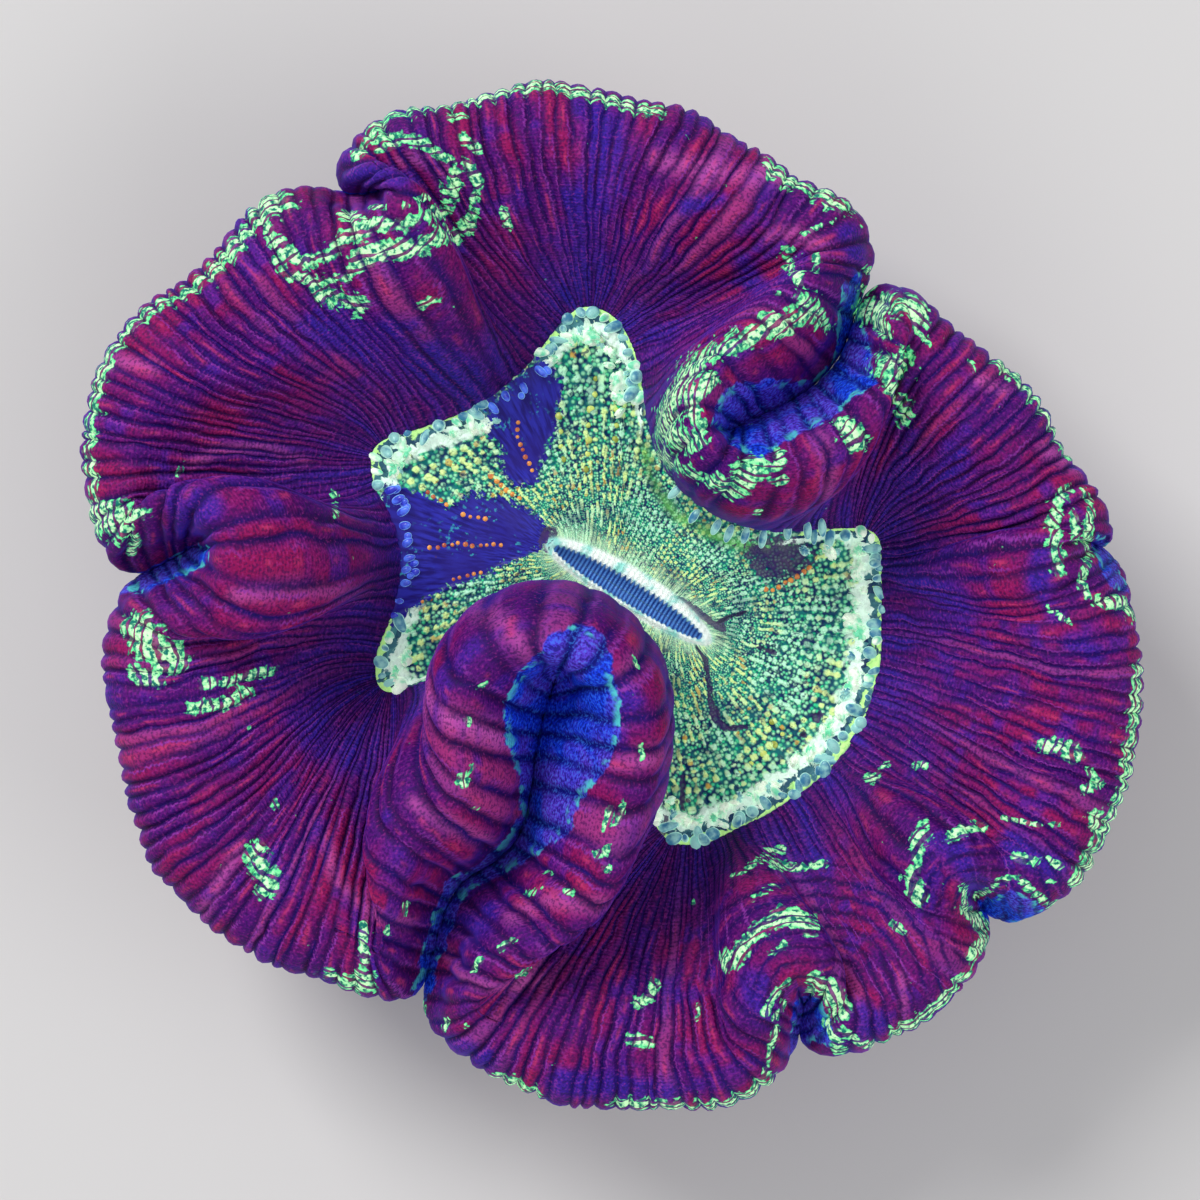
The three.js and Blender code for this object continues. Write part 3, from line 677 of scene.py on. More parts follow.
        (1.2, (10.8, 28.4), (12, 26.4)), (0.8, (6, 32.6), (9, 33.4)), (1.6, (-34.6, 6.8), (-33.2, 7.8)),
        (1.2, (0, -7), (1.6, -8)), (1.4, (19.8, 30.4), (20.6, 28.6)), (1.2, (35.4, 4.4), (35.2, 1.6)),
        (1.3, (-22.4, 35.2), (-19.6, 35), (-17.4, 34.6)), (1.0, (-35.6, 6), (-36, 8)),
        (1.0, (38, -3.4), (40, -4.4)),
    ],
    "pink": [
        (0.9, (-11.6, -0.2), (-8.8, -2), (-6.8, -4.4)),
        (1.1, (-16.4, -6), (-15, -8.6), (-12, -10), (-9.4, -11)),
        (0.8, (2.4, -4.4), (1, -6)), (0.9, (4, -12.4), (1.6, -12.8)), (0.7, (-14.4, -17.6), (-10.6, -20)),
        (0.6, (-16.4, -16.6), (-13, -19), (-10.2, -20.4)), (0.7, (13, 30.2), (15, 30.6), (17.4, 29.4)),
        (0.7, (16.8, 13.4), (17.8, 11), (17.6, 9)), (0.5, (-35, 11.4), (-33, 12.6), (-29, 13), (-26, 11.8)),
        (0.6, (-34.4, -26.4), (-32.6, -23), (-31, -20.6)), (0.7, (-31, 0.4), (-26, 1), (-21, 0.6)),
        (0.6, (-17.6, 36.6), (-15, 36.8), (-13.8, 35.4)),
        (0.6, (-24.2, -19.6), (-23, -23.4), (-21, -25.6), (-17, -27)),
        (0.6, (-14, -29.6), (-12.4, -31.4), (-9, -32.2), (-6, -31.6)),
        (0.8, (-1, -25), (-5, -24.6), (-8.4, -26)),
        (1.0, (4, 36.6), (9, 35.6), (14, 35.2)), (0.4, (24, -31), (24.2, -35.6)),
        (0.8, (40, 10.6), (36, 12.6)),
        (0.5, (0, -13.4), (3.4, -13.2)), (0.6, (30, 18.4), (32.4, 17.4)), (0.7, (-42, 20), (-38, 19.4)),
    ],
}


def softNoise(x, y, salt, period):
    i, j = np.floor(x), np.floor(y)
    f, g = smoothStep(x - i, 0, 1), smoothStep(y - j, 0, 1)
    low = mix(scatter(i % period, j, salt), scatter((i + 1) % period, j, salt), f)
    high = mix(scatter(i % period, j + 1, salt), scatter((i + 1) % period, j + 1, salt), f)
    return mix(low, high, g) - 0.5


# Round two of the folds the ribs run as arches: how far they show, and the count of arches from the middle
def archField(plan):
    shown, count = np.zeros(plan.shape[:-1]), np.zeros(plan.shape[:-1])
    for x, y, inner, outer in mantle["arches"]:
        gap = np.linalg.norm(plan - (x, y), axis=-1)
        way = np.arctan2(plan[..., 1] - y, plan[..., 0] - x)
        inside = smoothStep(gap, inner, inner + 1) * smoothStep(gap, outer + 2, outer - 0.5)
        inside = inside * smoothStep(way, -0.3, 0.1) * smoothStep(way, math.pi, math.pi - 0.3)
        count = np.where(inside > shown, gap / mantle["archPitch"] + 0.25 * np.sin(5 * way), count)
        shown = np.maximum(shown, inside)
    return shown, count


def mantleGrid():
    ribs, across = mantle["ribs"], np.array(mantle["across"])
    ribPlace = (np.arange(ribs)[:, None] + across).ravel()
    edges = np.arange(ribs + 1) + 0.5 * (scatter(np.arange(ribs + 1), 1, 3) - 0.5)
    edges[-1] = edges[0] + ribs
    breadth = mix(*mantle["foldBreadth"], smoothStep(lines["lean"], 0, 2))
    density = 1 - smoothRound(breadth * lines["fold"], 6)
    count = np.concatenate([[0], np.cumsum(density)])
    placed = np.interp(ribPlace, np.arange(ribs + 1), edges) % ribs
    placed = np.interp(placed, count * ribs / count[-1], np.arange(coral["samples"] + 1))
    slopeSteps = 1 - (1 - np.linspace(0, 1, mantle["slopeRows"] + 1)) ** 1.25
    points = fleshSurface(placed, slopeSteps, np.linspace(0, 1, mantle["browRows"] + 1)[1:],
                          np.linspace(0, 1, mantle["wallRows"] + 1)[1:])
    # where each point lies on its rib: millimetres from the crest, less than 0 on the inner side
    steps = np.linalg.norm(np.diff(points, axis=1), axis=2)
    run = np.concatenate([np.zeros((len(points), 1)), np.cumsum(steps, 1)], 1)
    run -= run[:, mantle["slopeRows"]][:, None]
    sideways = np.roll(points, -2, 0) - np.roll(points, 2, 0)
    normal = unit(np.cross(np.gradient(points, axis=1), np.roll(points, -1, 0) - np.roll(points, 1, 0)))
    width = np.linalg.norm(sideways, axis=2) * 1.25
    place = ribPlace[:, None] * np.ones_like(run)
    rimRun = run[:, mantle["slopeRows"] + mantle["browRows"]][:, None]
    inGroove = splineRound(lines["fold"], placed)[:, None] * smoothStep(run, rimRun - 4, rimRun - 1)
    arch, _ = archField(points[..., :2])
    onTop = (smoothStep(run, -14, -4) * 0.65 + 0.35) * (1 - 0.85 * inGroove) * (1 - 0.7 * arch)
    narrow = np.minimum(1, width / 1.1)
    # broad pleats first, then ribs that wander a little and differ in depth
    pleats = 1.5 * softNoise(place / 6, run / 9, 7, ribs / 6)
    pleats = pleats + 0.8 * softNoise(place / 3, run / 6, 8, ribs / 3)
    points = points + normal * (pleats * narrow * onTop)[..., None]
    sway = 0.6 * softNoise(place / 2, run / 3.2, 12, ribs / 2) + 0.4 * softNoise(place, run / 1.5, 13, ribs)
    points = points + unit(sideways) * (sway * np.minimum(width, 0.7))[..., None]
    share = np.tile(across, ribs)[:, None]
    furrow = 0.55 + 0.6 * scatter(np.round(ribPlace) % ribs, 2, 5)[:, None]
    furrow = furrow + 0.7 * softNoise(place, run / 2.5, 14, ribs)
    sink = np.abs(2 * share - 1) ** 2 * np.clip(furrow, 0.3, 1.3)
    rise = np.minimum(mantle["relief"], 0.34 * width)
    points = points + normal * (rise * onTop * (0.5 - sink))[..., None]
    points[:, -1, 2] = 0
    return points, placed, ribPlace, run, furrow


# The lines of the floor under the disc, from the mouth out to the oral edge
def floorUnder(edge, placed):
    mouthTurn = np.unwrap(lines["mouth"])
    mouthTurn = np.append(mouthTurn, mouthTurn[0] + 2 * math.pi)
    turn = np.interp(placed, np.arange(coral["samples"] + 1), mouthTurn)
    lip = mouthPoint(turn, 0.6)
    heights = [coral["lipHeight"] - 4.6, coral["discHeight"] - 1.6, coral["discHeight"] - 0.4,
               coral["oralHeight"] - mantle["floorGap"]]
    return np.stack([lift(mix(lip, edge[:, :2], t), z) for t, z in zip((0.12, 0.5, 0.88, 1), heights)], 1)


def buildMantle():
    points, placed, ribPlace, run, furrow = mantleGrid()
    columns = len(points)
    floor = floorUnder(points[:, 0], placed)
    whole = np.concatenate([floor, points], 1)
    extra = floor.shape[1]
    run = np.concatenate([np.repeat(run[:, :1], extra, 1), run], 1)
    furrow = np.concatenate([np.zeros((columns, extra)), furrow], 1)
    across = np.repeat(np.append(ribPlace, mantle["ribs"])[:, None], whole.shape[1], 1)
    top = extra + mantle["slopeRows"] + mantle["browRows"]
    upper = np.zeros_like(run)
    upper[:, extra:top + 1] = 1
    upper[:, top + 1:top + 4] = (0.8, 0.5, 0.2)
    plan = whole[..., :2].reshape(-1, 2)
    green, tint, pink = [strokeMask(plan, mantle[name]).reshape(run.shape) * upper
                         for name in ("green", "tint", "pink")]
    blue = areaMask(plan, mantle["blue"]).reshape(run.shape)
    fold = splineRound(lines["fold"], placed)[:, None]
    rim = splineRound(lines["rim"], placed)
    bearing = np.degrees(np.arctan2(rim[:, 1], rim[:, 0]))
    rimRun = run[:, top][:, None]
    share = np.tile(mantle["across"], mantle["ribs"])[:, None]
    zigzag = 0.5 * np.abs(2 * share - 1) + 1.4 * softNoise(ribPlace[:, None] / 7, 0 * rimRun, 21, 1e9)
    for start, end, inset in mantle["rimLines"]:
        shown = smoothStep(bearing, start, start + 3) * (1 - smoothStep(bearing, end - 3, end))
        line = 1 - 0.58 * np.abs(run - rimRun + inset + zigzag) / mantle["rimWidth"]
        green = np.maximum(green, line * shown[:, None] * (1 - fold))
    blue = np.maximum(blue, fold * smoothStep(run, rimRun - 1.2, rimRun + 1))
    # low: rises towards the oral edge, where the flesh turns bluer and painted shade falls
    length = -run[:, extra][:, None]
    low = smoothStep(-run, 0.3 * length, length)
    arch, archCount = archField(whole[..., :2])
    masks = {"green": green, "blue": blue, "low": low, "furrow": furrow, "tint": tint, "pink": pink,
             "arch": arch * upper, "archCount": archCount}
    return gridPiece("mantle", whole, across, np.vstack([run, run[:1]]), masks,
                     (*coral["mouthCentre"], coral["lipHeight"] - 4.6), (0, 0, 0))


def mantleMaterial():
    material, tree, shader = newMaterial("fleshRibs", tone(116, 24, 110), 0.62)
    run = putNode(tree, "ShaderNodeUVMap", uv_map="run").outputs[0]
    ribPlace, alongRun = putNode(tree, "ShaderNodeSeparateXYZ", {0: run}).outputs[:2]
    place = putNode(tree, "ShaderNodeTexCoord").outputs["Object"]

    def alongRibs(across, along, detail=3):
        return runNoise(tree, run, across, along, 1.0, detail)

    def times(a, b):
        return maths(tree, "MULTIPLY", a, b)

    def fromMiddle(share):
        return maths(tree, "ABSOLUTE", maths(tree, "MULTIPLY_ADD", share, 2.0, -1.0))

    ribShare = maths(tree, "FRACT", ribPlace)
    crease = fromMiddle(ribShare)
    archPlace = maths(tree, "MULTIPLY_ADD", noise(tree, place, 500, 2), 0.7, attribute(tree, "archCount"))
    archCrease = fromMiddle(maths(tree, "FRACT", archPlace))
    toArch = maths(tree, "SUBTRACT", archCrease, crease)
    crease = maths(tree, "MULTIPLY_ADD", attribute(tree, "arch"), toArch, crease)
    depth = span(tree, attribute(tree, "furrow"), 0.2, 1.0, 0.55, 1.0)
    ridge = maths(tree, "SUBTRACT", 1.0, times(span(tree, crease, 0.4, 1.0), depth))
    ribNumber = maths(tree, "FLOOR", ribPlace)
    ribTone = putNode(tree, "ShaderNodeTexWhiteNoise", {"W": ribNumber}, noise_dimensions="1D").outputs[0]
    # each rib is read at one place across, so that its colours change in short blocks
    blocks = putNode(tree, "ShaderNodeCombineXYZ", {0: times(ribNumber, 0.31), 1: times(alongRun, 0.26)})
    blockTone = noise(tree, blocks.outputs[0], 1.0, 2)
    folds = useGroup(tree, skinWrinkles, {"Run": run, "Place": place, "Scale": 2.0})
    mottle = folds["Mottle"]
    blotch = noise(tree, place, 150, 3, 0.6)
    tint = maths(tree, "MULTIPLY_ADD", blockTone, 0.9, attribute(tree, "tint"))
    tint = span(tree, tint, 0.56, 1.3, 0.0, 0.85)
    # ribs: crimson to purple bodies, now and then a pale pink one, deep purple between them, darker where a
    # furrow is deeper as painted crease shade
    redness = span(tree, alongRibs(0.3, 0.12), 0.4, 0.64)
    body = blendColour(tree, redness, tone(84, 10, 116), tone(150, 16, 88))
    paleRib = times(span(tree, ribTone, 0.78, 0.97), 0.35)
    pinkness = maths(tree, "MULTIPLY_ADD", attribute(tree, "pink"), 0.75, paleRib)
    body = blendColour(tree, pinkness, body, tone(196, 84, 172))
    body = blendColour(tree, span(tree, blockTone, 0.53, 0.66, 0.0, 0.75), body, tone(66, 28, 156))
    # a painted highlight along the crest of each rib, in broken lengths
    crestHighlight = span(tree, alongRibs(0.9, 0.35), 0.5, 0.64, 0.0, 0.5)
    body = blendColour(tree, times(span(tree, crease, 0.4, 0.0), crestHighlight), body, tone(222, 66, 112))
    body = blendColour(tree, tint, body, tone(52, 30, 162))
    # between the ribs: purple and blue flesh, partly painted shade that deepens with the furrow
    valleyAndCreaseShade = blendColour(tree, span(tree, blotch, 0.4, 0.62), tone(52, 2, 72), tone(30, 10, 110))
    skin = blendColour(tree, ridge, valleyAndCreaseShade, body)
    # towards the oral edge the ribs turn bluer and darker: the flesh's own blue, and painted shade low on
    # the slope
    blueness = span(tree, alongRibs(0.4, 0.1), 0.4, 0.64)
    lowCrest = blendColour(tree, blueness, tone(78, 12, 112), tone(48, 38, 172))
    lowSkinAndShade = blendColour(tree, ridge, tone(28, 8, 96), lowCrest)
    skin = blendColour(tree, times(attribute(tree, "low"), 0.85), skin, lowSkinAndShade)
    # a thin saw-toothed line runs down one side of each rib
    saw = times(alongRibs(0.6, 3.6, 2), 0.5)
    sawGap = maths(tree, "ABSOLUTE", maths(tree, "SUBTRACT", ribShare, saw))
    sawLine = times(span(tree, sawGap, 0.1, 0.02), span(tree, alongRibs(0.35, 0.2), 0.46, 0.6, 0.1, 0.75))
    skin = blendColour(tree, sawLine, skin, tone(150, 58, 172))
    skin = blendColour(tree, span(tree, mottle, 0.38, 0.54, 0.6, 0.0), skin, tone(32, 2, 80))
    skin = blendColour(tree, span(tree, mottle, 0.56, 0.72, 0.0, 0.3), skin, tone(186, 62, 160))
    # painted sheen: bluer violet where the surface turns away from view
    paintedSheen = putNode(tree, "ShaderNodeLayerWeight", {"Blend": 0.5}).outputs["Facing"]
    skin = blendColour(tree, span(tree, paintedSheen, 0.6, 0.95, 0.0, 0.4), skin, tone(84, 56, 204))
    # blue flesh in the grooves, with a paler line at its edge
    deep = useGroup(tree, tornPatch, {"Mask": attribute(tree, "blue"), "Vector": place, "Scale": 900.0,
                                      "Tear": 0.6})
    edge = maths(tree, "SUBTRACT", deep["Patch"], deep["Core"], clamp=True)
    blueBody = blendColour(tree, span(tree, blotch, 0.42, 0.6), tone(20, 64, 232), tone(92, 60, 212))
    # the dark blue between the ribs is painted crease shade as well
    blueSkin = blendColour(tree, ridge, tone(6, 16, 124), blueBody)
    blueSkin = blendColour(tree, span(tree, mottle, 0.36, 0.56, 0.75, 0.0), blueSkin, tone(4, 12, 110))
    blueSkin = blendColour(tree, span(tree, mottle, 0.52, 0.66, 0.0, 0.35), blueSkin, tone(70, 150, 255))
    dots = span(tree, noise(tree, place, 620, 3), 0.5, 0.6)
    blueSkin = blendColour(tree, times(edge, dots), blueSkin, tone(84, 206, 210))
    skin = blendColour(tree, deep["Patch"], skin, blueSkin)
    # fluorescent green patches, broken up by the ribs and by fine cracks across them
    shift = maths(tree, "MULTIPLY_ADD", ribTone, 0.4, -0.2)
    patch = useGroup(tree, tornPatch, {"Mask": attribute(tree, "green"), "Vector": place, "Scale": 1200.0,
                                       "Tear": 1.5, "Shift": shift})
    waves = {"Vector": run, "Scale": 0.33, "Distortion": 9.0, "Detail": 3.0, "Detail Scale": 1.1}
    cracks = putNode(tree, "ShaderNodeTexWave", waves, bands_direction="Y").outputs["Fac"]
    speck = span(tree, noise(tree, place, 2400, 2), 0.38, 0.6)
    greenSkin = blendColour(tree, speck, tone(16, 112, 100), tone(98, 236, 150))
    greenSkin = blendColour(tree, times(patch["Core"], speck), greenSkin, tone(206, 255, 196))
    cracks = maths(tree, "SUBTRACT", cracks, 0.5)
    cracks = maths(tree, "MULTIPLY_ADD", noise(tree, place, 700, 2), 0.9, cracks)
    uneven = maths(tree, "MULTIPLY_ADD", noise(tree, place, 900, 2), 1.3, crease)
    whole = times(span(tree, cracks, 0.1, 0.26, 0.06, 1.0), span(tree, uneven, 1.75, 1.45, 0.1, 1.0))
    lit = times(patch["Patch"], whole)
    skin = blendColour(tree, lit, skin, greenSkin)
    tree.links.new(skin, shader.inputs["Base Color"])
    tree.links.new(blendColour(tree, lit, (0, 0, 0, 1), greenSkin), shader.inputs["Emission Color"])
    shader.inputs["Emission Strength"].default_value = mantle["glow"]
    height = maths(tree, "MULTIPLY_ADD", ridge, 0.4, times(folds["Height"], 0.7))
    tree.links.new(bumpNormal(tree, height, 0.8, 0.0002), shader.inputs["Normal"])
    tree.links.new(span(tree, mottle, 0.3, 0.7, 0.55, 0.8), shader.inputs["Roughness"])
    shader.inputs["Specular IOR Level"].default_value = mantle["shine"]
    return material


def triangles(piece):
    return sum(len(p.vertices) - 2 for p in piece.data.polygons)


mantlePiece = buildMantle()
mantlePiece.data.materials.append(mantleMaterial())
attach(mantlePiece, "root")
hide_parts("coral")
print("mantle made,", triangles(mantlePiece), "triangles")

disc = {
    "columns": 1120,
    "rows": 76,
    "slitRows": 9,
    "lipRows": 13,
    "beadsPerTurn": 118,
    "lipWidth": 0.82,
    "lipLean": 0.35,  # how much broader the upper lip is, and how much narrower the lower one
    "barSpacing": 0.36,
    "barRise": 0.12,
    "toothSpacing": 0.48,
    "toothRise": 0.16,
    "beadRise": 0.4,
    "furrowDepth": 0.45,
    "floorDrop": 1.25,  # from the lip to the floor of the slit
    "glow": 0.3,
    "shine": 0.3,
    "violet": [
        (1.0, (-19.1, 10), (-16.4, 9), (-13.9, 7.9), (-12.1, 9), (-9.4, 8.6), (-6.6, 7.3), (-5.6, 5.9),
         (-5.6, 4.9),
         (-8.5, 3.6), (-11, 2.3), (-13.3, 1.5), (-15.2, 0.7), (-17.2, -0.5), (-19, -2), (-20, 2), (-20, 7)),
        (1.0, (-10.6, 16.8), (-8.5, 18.6), (-6.4, 20.4), (-4.4, 19), (-4.8, 16.2), (-5, 14.6), (-5.6, 13.1),
         (-6.4, 11.5), (-6.6, 10.2), (-8.3, 10), (-9.2, 11.3), (-9.4, 13.1), (-10.4, 14.4)),
    ],
    "dark": [
        (0.26, (5.6, 0.2), (6.6, -0.4)), (0.36, (6.6, -0.4), (8.3, -1.8), (9.4, -2.4)),
        (0.2, (8.8, -2), (9.8, -1.4)),
        (0.16, (10.2, -1.3), (11.2, -1)), (0.14, (7.1, -3.9), (7.9, -5)),
        (0.24, (7.9, -5), (8.2, -6.8), (8.3, -8.4)),
        (0.36, (8.3, -8.4), (8.8, -10), (9.6, -10.8)), (0.22, (9.6, -10.9), (11.5, -10.8)),
        (0.7, (-5.5, 5.6), (-5.5, 4.6)), (0.5, (17.4, -9.9)), (0.24, (6, -15), (5.9, -17.6)),
        (0.26, (16.2, -11.4)),
        (0.3, (4.6, -18.6), (4.2, -19.8)), (0.2, (12.6, -4), (13.8, -4.4)),
    ],
    # a painted shadow on the disc under the overhang of the upper right fold
    "shade": [
        (1.8, (11.6, 4.6), (12.2, 2.9), (13, 2.2), (14.4, 2.2), (15.6, 2.9), (16.4, 3.7), (16.6, 4.8),
         (14, 5)),
    ],
    # where the flesh hides the bright fringe: x, y and radius
    "bare": [
        (-13.5, -5.4, 4.2), (-7.5, -2.4, 4.6), (-1, -2.6, 4.4), (2.6, -8, 5.4), (3, -13.4, 3.8),
        (3.6, 12, 4.6), (8, 7.4, 4.2), (12.6, 5.4, 3.4), (-18.6, 4.4, 5.6), (-8.4, 18.8, 2.9),
    ],
    # a dim green band beside the upper right fold
    "veil": [(0.5, (2.6, 13), (3.4, 10.2), (5.2, 7.4), (9.2, 5.2), (12.6, 4.4), (15.4, 5))],
}


def showsFringe(plan):
    shown = np.ones(plan.shape[:-1])
    for x, y, radius in disc["bare"]:
        shown *= smoothStep(np.linalg.norm(plan - (x, y), axis=-1), 0.85 * radius, 1.1 * radius)
    return shown


def discSurface():
    dense, step = denseOralEdge()
    oral = readRound(dense, evenPlaces(step, disc["columns"]))
    turn = np.unwrap(mouthBearings(oral))
    slitRows, lipRows = disc["slitRows"], disc["lipRows"]
    discRows = disc["rows"] - slitRows - lipRows
    floorHeight = coral["lipHeight"] - disc["floorDrop"]
    lipWidth = disc["lipWidth"] + disc["lipLean"] * np.sin(turn)
    rings = []
    for t in np.arange(slitRows) / slitRows:
        rings.append(lift(mouthPoint(turn, mix(-0.78, -0.1, t)), floorHeight + 0.25 * t ** 2))
    for t in np.linspace(0, 1, lipRows):
        z = mix(floorHeight + 0.3, coral["lipHeight"], smoothStep(t, 0, 0.3))
        z = z + 0.4 * math.sin(math.pi * t) ** 0.8
        rings.append(lift(mouthPoint(turn, mix(-0.1, lipWidth, t)), z))
    lipEdge = mouthPoint(turn, lipWidth)
    heights = [coral["lipHeight"], coral["lipHeight"] - 0.4, coral["discHeight"], coral["oralHeight"]]
    for t in np.linspace(0, 1, discRows + 1)[1:]:
        weights = [(1 - t) ** 3, 3 * (1 - t) ** 2 * t, 3 * (1 - t) * t * t, t ** 3]
        z = sum(w * h for w, h in zip(weights, heights))
        rings.append(lift(mix(lipEdge, oral, t), z))
    return np.stack(rings, 1), oral, turn


# Rows of beads that leave the slit at right angles and fan out, as the lines round an ellipse do
def beadFlow(plan):
    half = coral["mouthHalf"]
    focus = math.sqrt(half[0] ** 2 - half[1] ** 2) * 0.96
    local = turned(plan - np.array(coral["mouthCentre"]), -math.radians(coral["mouthAngle"]))
    flow = np.arccosh((local[..., 0] + 1j * local[..., 1]) / focus)
    outward, bearing = np.abs(flow.real), np.copysign(flow.imag, local[..., 1])
    size = focus * np.sqrt(np.sinh(outward) ** 2 + np.sin(bearing) ** 2)
    perTurn = disc["beadsPerTurn"] / (2 * math.pi)
    return bearing * perTurn, outward * perTurn, size / perTurn, local


def beadField(u, v):
    bead = np.zeros_like(u)
    for dj in (-1, 0, 1):
        j = np.floor(u) + dj
        shift = scatter(j, 0, 9)
        for di in (-1, 0, 1):
            i = np.floor(v + shift) + di
            gapU = u - (j + 0.5 + 0.22 * (scatter(i, j, 1) - 0.5))
            gapV = v - (i + 0.5 - shift + 0.3 * (scatter(i, j, 2) - 0.5))
            radius = np.where(scatter(i, j, 6) < 0.12, 0.01, 0.32 + 0.18 * scatter(i, j, 4))
            bead = np.maximum(bead, np.sqrt(np.clip(1 - (gapU ** 2 + gapV ** 2) / radius ** 2, 0, 1)))
    return bead


def buildDisc():
    points, oral, turn = discSurface()
    columns, rows = points.shape[:2]
    slitRows, lipRows = disc["slitRows"], disc["lipRows"]
    mouthRows = slitRows + lipRows
    plan = points[..., :2]
    flat = plan.reshape(-1, 2)
    u, v, cell, local = beadFlow(plan)
    reach = np.zeros((columns, rows))
    reach[:, mouthRows:] = np.linspace(0, 1, rows - mouthRows + 1)[1:]
    fromLip = np.zeros((columns, rows))
    lipEdge = points[:, mouthRows - 1, :2]
    fromLip[:, mouthRows:] = np.linalg.norm(plan[:, mouthRows:] - lipEdge[:, None], axis=2)
    edgeGap = np.linalg.norm(plan - oral[:, None], axis=2)
    fringe = showsFringe(oral)[:, None] * smoothStep(edgeGap, 4, 2)
    violet = areaMask(flat, disc["violet"]).reshape(columns, rows)
    # the dark furrows and the painted shadow under the upper right fold share one mask
    dark = np.maximum(strokeMask(flat, disc["dark"]), areaMask(flat, disc["shade"])).reshape(columns, rows)
    veil = strokeMask(flat, disc["veil"]).reshape(columns, rows)
    onDisc = np.zeros(rows)
    onDisc[mouthRows - 1:] = 1
    bead = beadField(u, v) * onDisc * (1 - smoothStep(violet, 0.4, 0.6)) * (1 - smoothStep(dark, 0.2, 0.6))
    fade = 1 - smoothStep(reach, 0.93, 1)
    points[..., 2] += bead * np.minimum(0.4 * cell, disc["beadRise"]) * fade
    points[..., 2] -= disc["furrowDepth"] * smoothStep(dark, 0.2, 0.7) * fade
    # cross bars on the floor of the slit, and small teeth along the lips
    length = 2 * math.pi * local[..., 0]
    bars = 0.5 + 0.5 * np.cos(length / disc["barSpacing"])
    teeth = 0.5 + 0.5 * np.cos(length / disc["toothSpacing"] + 0.8 * np.sin(local[..., 0] * 2.1))
    row = np.arange(rows)
    points[..., 2] += disc["barRise"] * bars * (row < slitRows + 1)
    lipBand = np.sin(math.pi * np.clip((row - slitRows) / lipRows, 0, 1)) ** 0.5
    points[..., 2] += disc["toothRise"] * teeth * lipBand
    # the slab's edge and underside, tucked under the mantle
    out = -leftOf(around(oral))
    inner = mouthPoint(turn, 0.6)
    under = np.stack([lift(oral + out * 0.35, coral["oralHeight"] - 0.1),
                      lift(oral + out * 0.2, coral["oralHeight"] - 0.6),
                      lift(mix(oral, inner, 0.45), coral["discHeight"] - 0.5),
                      lift(mouthPoint(turn, 0.2), coral["lipHeight"] - 2.6)], 1)
    extra = under.shape[1]

    def withUnder(values):
        return np.concatenate([values * np.ones((columns, rows)), np.zeros((columns, extra))], 1)

    across = np.unwrap(np.concatenate([u, u[:1]], 0), period=disc["beadsPerTurn"], axis=0)
    along = np.concatenate([v, v[:1]], 0)
    across = np.concatenate([across, np.repeat(across[:, -1:], extra, 1)], 1)
    along = np.concatenate([along, np.repeat(along[:, -1:], extra, 1)], 1)
    slitEdge = smoothStep(row - slitRows - 1.5 - 3.5 * teeth, -1.2, 0.4)
    masks = {"bead": bead, "violet": violet, "dark": dark, "bars": bars, "slit": 1 - slitEdge,
             "lip": slitEdge * (1 - smoothStep(fromLip, 0, 0.4)), "rays": 1 - smoothStep(fromLip, 0.2, 2.2),
             "fringe": fringe, "edge": np.minimum(edgeGap, 4), "veil": veil}
    masks = {name: withUnder(values) for name, values in masks.items()}
    start = (*coral["mouthCentre"], coral["lipHeight"] - disc["floorDrop"])
    end = (*coral["mouthCentre"], coral["lipHeight"] - 2.6)
    return gridPiece("oralDisc", np.concatenate([points, under], 1), across, along, masks, start, end)


